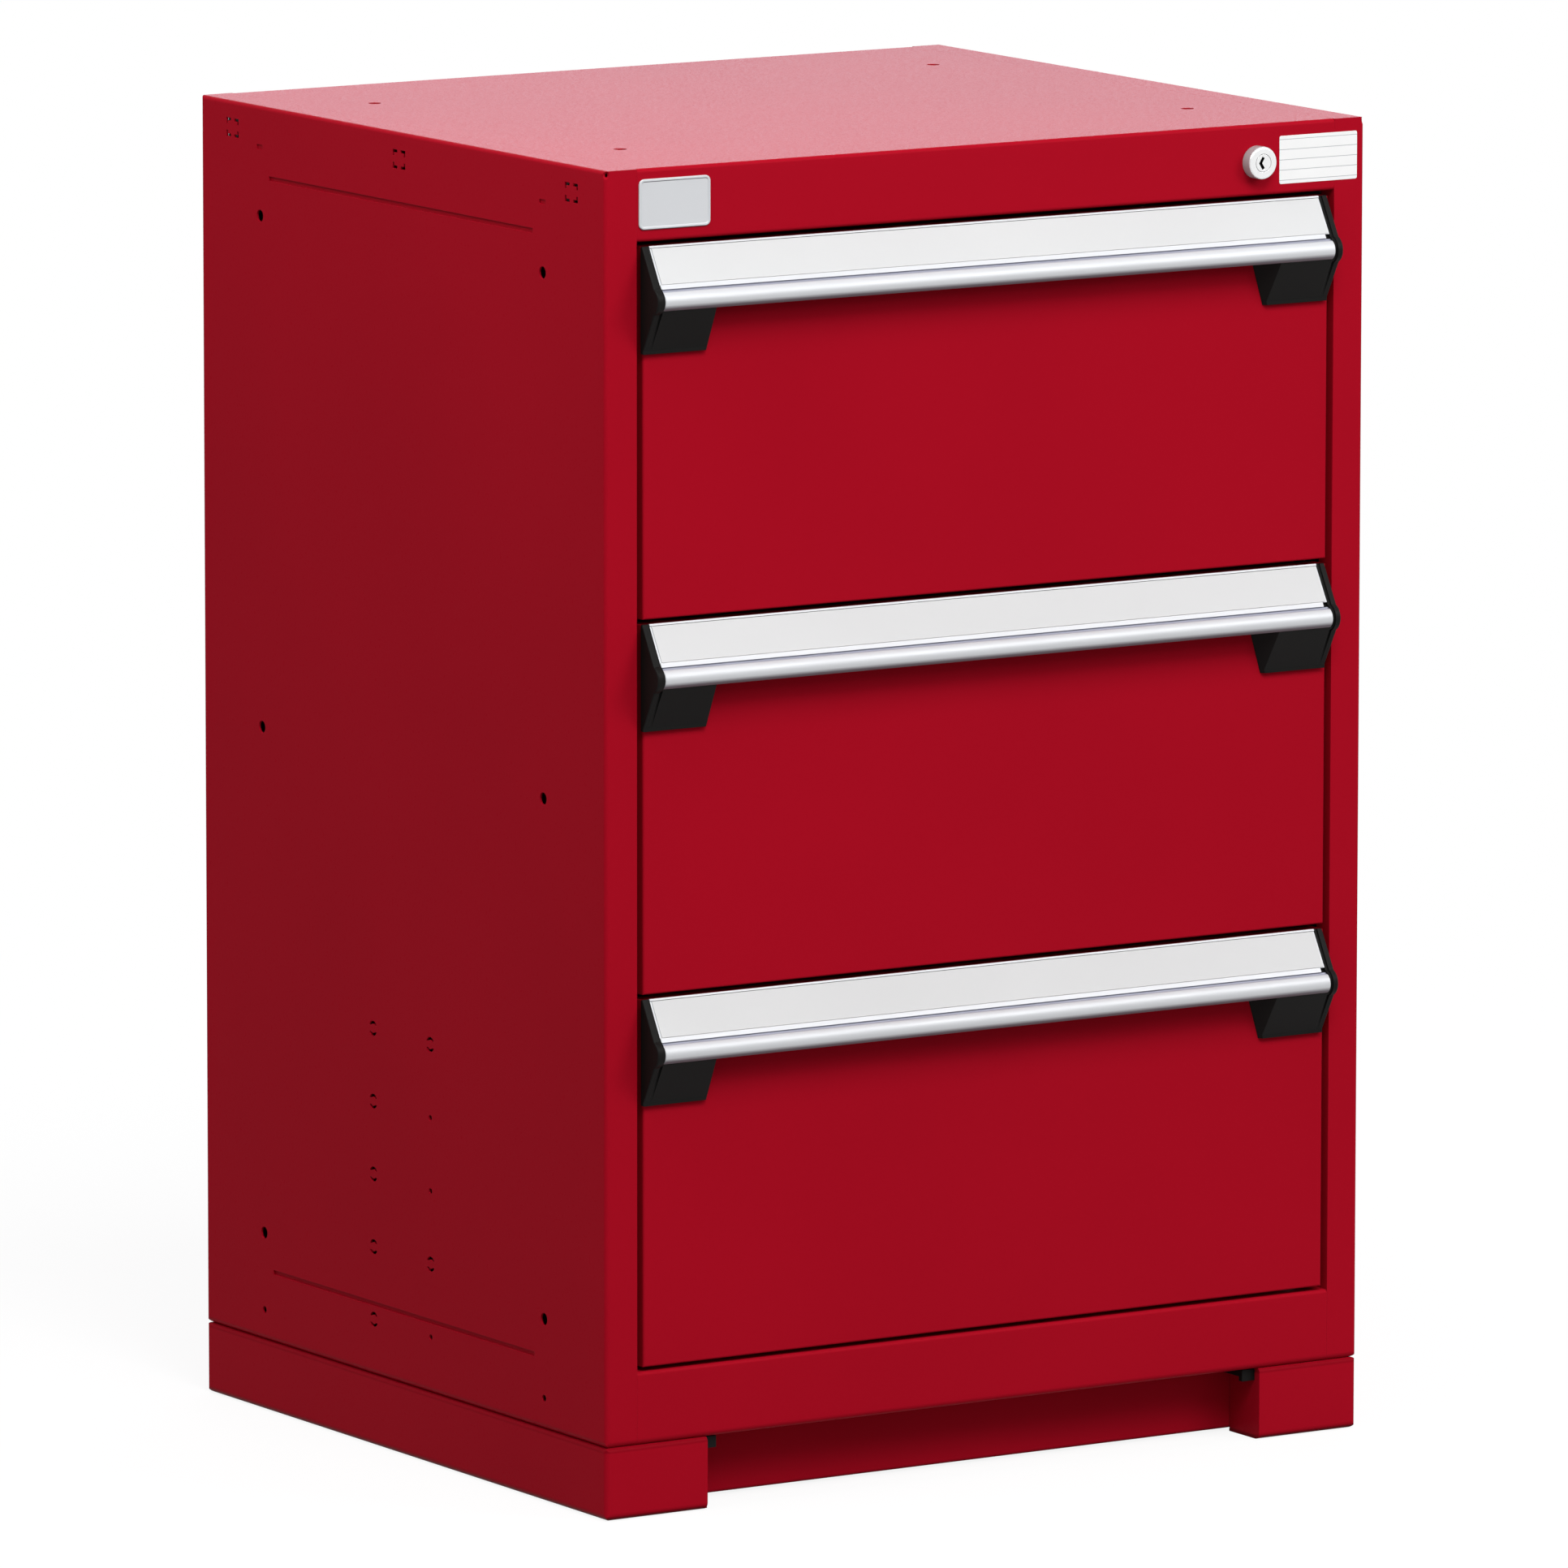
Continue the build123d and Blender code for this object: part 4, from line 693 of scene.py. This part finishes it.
world = bpy.data.worlds.new("pale_room")
world.use_nodes = True
room = world.node_tree
room_seen = seen_directly(room, (-900, 0))
room_level = remap(room, room_seen, ROOM_LIGHT, 1.0, (-300, 0), 0.0, 1.0)
room.links.new(room_level, room.nodes["Background"].inputs["Strength"])
room.nodes["Background"].inputs["Color"].default_value = (*WHITE, 1.0)
scene.world = world
print("room light:", ROOM_LIGHT)

# %% [markdown]
# ## Floor
# The cabinet stands on a wide pale floor. It is seen as white, but near the cabinet a part of its
# own shading is kept, so that the cabinet has a soft shadow under it. Farther off that part fades
# out, and floor and room run into each other. From below the floor is clear, so that the cabinet
# can also be looked at from there.

# %% Floor material
FLOOR_OWN_SHADE = 0.12
FLOOR_SHADE_REACH = (0.8, 2.0)
FLOOR_BOUNCE = 0.32

floor_material, tree, floor_shader = new_material(
    "pale_floor", {"Roughness": 0.9, "Specular IOR Level": 0.0}
)
floor_values = {"Colour": (FLOOR_BOUNCE,) * 3 + (1.0,), "Shift": 0.01, "Scale": 1.5}
floor_tone = place_group(tree, UNEVEN_TONE, (-900, 300), floor_values)
floor_seen = seen_directly(tree, (-1500, -300))
floor_colour = mix_colours(tree, floor_seen, floor_tone.outputs["Colour"], WHITE, (-500, 200))
floor_place = add_node(tree, "ShaderNodeTexCoord", (-700, 500))
floor_reach = add_node(tree, "ShaderNodeVectorMath", (-500, 500), operation="LENGTH")
floor_distance = floor_reach.outputs["Value"]
whiteness = remap(
    tree, floor_distance, 1.0 - FLOOR_OWN_SHADE, 1.0, (-200, 500), *FLOOR_SHADE_REACH
)
share = add_node(tree, "ShaderNodeMath", (100, 150), operation="MULTIPLY")
white = add_node(tree, "ShaderNodeEmission", (0, -200), {"Strength": 1.0})
blend = add_node(tree, "ShaderNodeMixShader", (400, 0))
from_below = add_node(tree, "ShaderNodeNewGeometry", (400, 300))
clear = add_node(tree, "ShaderNodeBsdfTransparent", (400, -200))
one_sided = add_node(tree, "ShaderNodeMixShader", (700, 0))
wire(
    tree,
    (floor_colour, floor_shader.inputs["Base Color"]),
    (floor_place.outputs["Object"], floor_reach.inputs[0]),
    (floor_seen, share.inputs[0]),
    (whiteness, share.inputs[1]),
    (share.outputs["Value"], blend.inputs["Fac"]),
    (floor_shader.outputs["BSDF"], blend.inputs[1]),
    (white.outputs["Emission"], blend.inputs[2]),
    (from_below.outputs["Backfacing"], one_sided.inputs["Fac"]),
    (blend.outputs["Shader"], one_sided.inputs[1]),
    (clear.outputs["BSDF"], one_sided.inputs[2]),
    (one_sided.outputs["Shader"], tree.nodes["Material Output"].inputs["Surface"]),
)
print("floor material:", floor_material.name)

# %% [markdown]
# ## Floor mesh
# A flat grid is enough for the floor. It lies a hair under the feet, so that the two never share
# a plane. The helper that turns an edited mesh into an object of the scene serves the plates and
# the rivets as well.

# %% Floor mesh
FLOOR_SIZE, FLOOR_PARTS = 30.0, 8
FLOOR_LEVEL = -0.0002


def object_from(mesh, name, material):
    """Turn an edited mesh into an object of the scene with one material."""
    data = bpy.data.meshes.new(name)
    mesh.to_mesh(data)
    mesh.free()
    data.materials.append(material)
    made = bpy.data.objects.new(name, data)
    scene.collection.objects.link(made)
    return made


grid = bmesh.new()
bmesh.ops.create_grid(grid, x_segments=FLOOR_PARTS, y_segments=FLOOR_PARTS, size=FLOOR_SIZE)
floor = object_from(grid, "floor", floor_material)
floor.location.z = FLOOR_LEVEL
print("floor:", [round(v, 2) for v in floor.dimensions])

# %% [markdown]
# ## Lamps
# A distant soft lamp from above the front gives the main light. Large square lamps stand at the
# front, at the right and at the left side, each a little different, so that the faces of the
# cabinet part from each other. A large cool lamp behind lights the back and the top.

# %% Lamps
COOL_WHITE = (0.98, 0.98, 1.14)


def soft_lamp(name, place, target, size, watts):
    """A square area lamp that looks at a point."""
    data = bpy.data.lights.new(name, "AREA")
    data.shape = "SQUARE"
    data.size = size
    data.energy = watts
    lamp = bpy.data.objects.new(name, data)
    lamp.location = place
    lamp.rotation_euler = (Vector(target) - Vector(place)).to_track_quat("-Z", "Y").to_euler()
    scene.collection.objects.link(lamp)
    return lamp


def far_lamp(name, azimuth, elevation, spread, strength):
    """A distant soft lamp from a compass direction; azimuth 0 shines along +Y."""
    data = bpy.data.lights.new(name, "SUN")
    data.angle = math.radians(spread)
    data.energy = strength
    lamp = bpy.data.objects.new(name, data)
    lamp.rotation_euler = (math.radians(90 - elevation), 0.0, math.radians(-azimuth))
    scene.collection.objects.link(lamp)
    return lamp


far_lamp("far_key", azimuth=14.0, elevation=50.0, spread=28.0, strength=1.15)
soft_lamp("key_lamp", (-0.5, -2.0, 2.7), (0.0, -0.2, 0.6), size=1.1, watts=24.0)
soft_lamp("right_lamp", (1.5, -2.2, 2.0), (0.2, -0.2, 0.75), size=1.2, watts=27.0)
soft_lamp("side_lamp", (-1.2, -0.2, 1.9), (-0.3, 0.0, 0.75), size=0.9, watts=10.5)
back_lamp = soft_lamp("back_lamp", (2.4, 3.4, 1.6), (0.0, 0.0, 0.9), size=3.0, watts=50.0)
back_lamp.data.color = COOL_WHITE

# %% [markdown]
# ## Plates on the header
# Two small plates sit on the header: a blank metal plate at the left and a blank write-on label
# at the right of the lock. A block with a bevel would give the outer edge, but not a rim around a
# sunk field. So each is a stack of rounded outlines that steps outwards from the paint, bridged
# into one closed skin, and its edge and rim are real shape.

# %% Build a small plate
HEADER_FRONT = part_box("top_panel")[0].y
CABINET_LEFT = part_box("side_panel_left")[0].x
SHARPEST_CORNER = 0.0002


def rounded_outline(width, height, corner, steps=6):
    """Points of a rounded rectangle around the origin, in X and Z."""
    points = []
    for quarter in range(4):
        across = (width / 2 - corner) * (1 if quarter in (0, 3) else -1)
        up = (height / 2 - corner) * (1 if quarter in (0, 1) else -1)
        for step in range(steps + 1):
            angle = math.radians(90 * (quarter + step / steps))
            points.append((across + corner * math.cos(angle), up + corner * math.sin(angle)))
    return points


def close_skin(mesh, rows):
    """Bridge rows of points into one closed skin, with a face at each end."""
    for lower_row, upper_row in zip(rows, rows[1:]):
        for i in range(len(lower_row)):
            j = (i + 1) % len(lower_row)
            mesh.faces.new((lower_row[i], lower_row[j], upper_row[j], upper_row[i]))
    mesh.faces.new(rows[-1])
    mesh.faces.new(reversed(rows[0]))


def small_plate(name, middle, size, corner, levels, material):
    """A plate on the header; levels are (inset, how far out), from the paint to the face."""
    mesh = bmesh.new()
    rows = []
    for inset, out in levels:
        width, height = size[0] - 2 * inset, size[1] - 2 * inset
        outline = rounded_outline(width, height, max(corner - inset, SHARPEST_CORNER))
        rows.append([mesh.verts.new((x, -out, z)) for x, z in outline])
    close_skin(mesh, rows)
    bmesh.ops.recalc_face_normals(mesh, faces=mesh.faces)
    plate = object_from(mesh, name, material)
    plate.location = middle
    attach(plate, "cabinet")
    return plate


print("header face at", round(HEADER_FRONT, 4))

# %% [markdown]
# ## Film of the write-on label
# The label is a thin matt film with faint ruled lines. A picture of the lines would blur from
# near, and a node stays sharp. One that runs to and fro over the height is near zero once every
# seven millimetres, and that is where a line is drawn.

# %% Finish: write-on film
FILM_WHITE, RULE_GREY = (0.80, 0.80, 0.80), (0.36, 0.37, 0.39)
RULE_HALF_STEP, RULE_HALF_WIDTH = 0.0035, 0.0002

WRITE_ON_FILM, tree, shader = new_material("write_on_film", {"Roughness": 0.5})
film_values = {"Colour": (*FILM_WHITE, 1.0), "Shift": 0.015, "Scale": 40.0}
film = place_group(tree, UNEVEN_TONE, (-700, 300), film_values)
where = add_node(tree, "ShaderNodeTexCoord", (-1300, 0))
height = add_node(tree, "ShaderNodeSeparateXYZ", (-1100, 0))
repeat = add_node(tree, "ShaderNodeMath", (-900, 0), {1: RULE_HALF_STEP}, operation="PINGPONG")
rule = add_node(tree, "ShaderNodeMath", (-700, 0), {1: RULE_HALF_WIDTH}, operation="LESS_THAN")
wire(
    tree,
    (where.outputs["Object"], height.inputs["Vector"]),
    (height.outputs["Z"], repeat.inputs[0]),
    (repeat.outputs["Value"], rule.inputs[0]),
)
film_colour = film.outputs["Colour"]
ruled = mix_colours(tree, rule.outputs["Value"], film_colour, RULE_GREY, (-400, 200))
tree.links.new(ruled, shader.inputs["Base Color"])
print("finish:", WRITE_ON_FILM.name)

# %% [markdown]
# ## The blank plates
# The metal plate has a raised rim around a sunk field. The label is only two tenths of a
# millimetre thick, with a slightly bevelled edge.

# %% Place the plates
PLATE_FROM_LEFT, PLATE_HEIGHT = 0.054, 0.890
PLATE_LEVELS = [
    (0.0, 0.0),
    (0.0, 0.0007),
    (0.0005, 0.0011),
    (0.0016, 0.0011),
    (0.0021, 0.0007),
]
LABEL_FROM_LEFT, LABEL_HEIGHT = 0.572, 0.8883
LABEL_LEVELS = [(0.0, 0.0), (0.0, 0.00012), (0.00015, 0.0002)]

small_plate(
    "header_plate",
    (CABINET_LEFT + PLATE_FROM_LEFT, HEADER_FRONT, PLATE_HEIGHT),
    size=(0.056, 0.034),
    corner=0.004,
    levels=PLATE_LEVELS,
    material=ALUMINIUM,
)
small_plate(
    "write_on_label",
    (CABINET_LEFT + LABEL_FROM_LEFT, HEADER_FRONT, LABEL_HEIGHT),
    size=(0.064, 0.033),
    corner=0.0015,
    levels=LABEL_LEVELS,
    material=WRITE_ON_FILM,
)
print("plates: header_plate, write_on_label")

# %% [markdown]
# ## Rivets in the drawers
# The slide rails and the lock catch are riveted through the walls of the drawer boxes, so an open
# drawer shows small round heads inside. A flattened ball would come close, but a real head has a
# low upright rim. So a head is a short profile turned around its axis.

# %% Build a rivet head
RIVET_PROFILE = [(0.0038, 0.0), (0.0038, 0.0004), (0.0031, 0.0009), (0.0017, 0.0012)]
RIVET_SIDES = 20


def rivet_head(mesh, place, inwards):
    """Add one closed head on a wall; inwards is the way it points along X."""
    turns = [2 * math.pi * i / RIVET_SIDES for i in range(RIVET_SIDES)]
    rows = []
    for radius, height in RIVET_PROFILE:
        ring = [(inwards * height, radius * math.cos(a), radius * math.sin(a)) for a in turns]
        rows.append([mesh.verts.new(place + Vector(point)) for point in ring])
    close_skin(mesh, rows)


print("rivet head:", RIVET_SIDES, "sides")

# %% [markdown]
# ## Rivets along the rails and the catch
# Four rivets hold each rail and two hold the catch. Their places are worked out from the boxes of
# the rails and the catch, so that they follow the CAD model. All the heads of a drawer share one
# mesh that moves with it. The round sides of a head are shaded smooth, and its flat ends are not.

# %% Place the rivets
RIVETS_ALONG_RAIL = 4
RAIL_END = 0.025  # last rivet to the end of the rail
RAIL_WIDTH, BOX_SHEET = 0.012, 0.0012
CATCH_RIVETS = (0.4, 0.8)  # shares of the length of the catch

for number in (1, 2, 3):
    rails_low, rails_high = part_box(f"drawer_{number}_rails")
    catch_low, catch_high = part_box(f"drawer_{number}_lock_catch")
    wall = rails_high.x - RAIL_WIDTH - BOX_SHEET
    rail_height = (rails_low.z + rails_high.z) / 2
    catch_height = (catch_low.z + catch_high.z) / 2
    first, last = rails_low.y + RAIL_END, rails_high.y - RAIL_END
    heads = bmesh.new()
    for step in range(RIVETS_ALONG_RAIL):
        along = first + (last - first) * step / (RIVETS_ALONG_RAIL - 1)
        rivet_head(heads, Vector((wall, along, rail_height)), -1)
        rivet_head(heads, Vector((-wall, along, rail_height)), 1)
    for share in CATCH_RIVETS:
        along = catch_low.y + (catch_high.y - catch_low.y) * share
        rivet_head(heads, Vector((wall, along, catch_height)), -1)
    bmesh.ops.recalc_face_normals(heads, faces=heads.faces)
    for face in heads.faces:
        face.smooth = len(face.verts) == 4
    rivets = object_from(heads, f"drawer_{number}_rivets", ZINC_STEEL)
    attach(rivets, f"drawer_{number}")
print("rivets:", 2 * RIVETS_ALONG_RAIL + len(CATCH_RIVETS), "in each drawer")
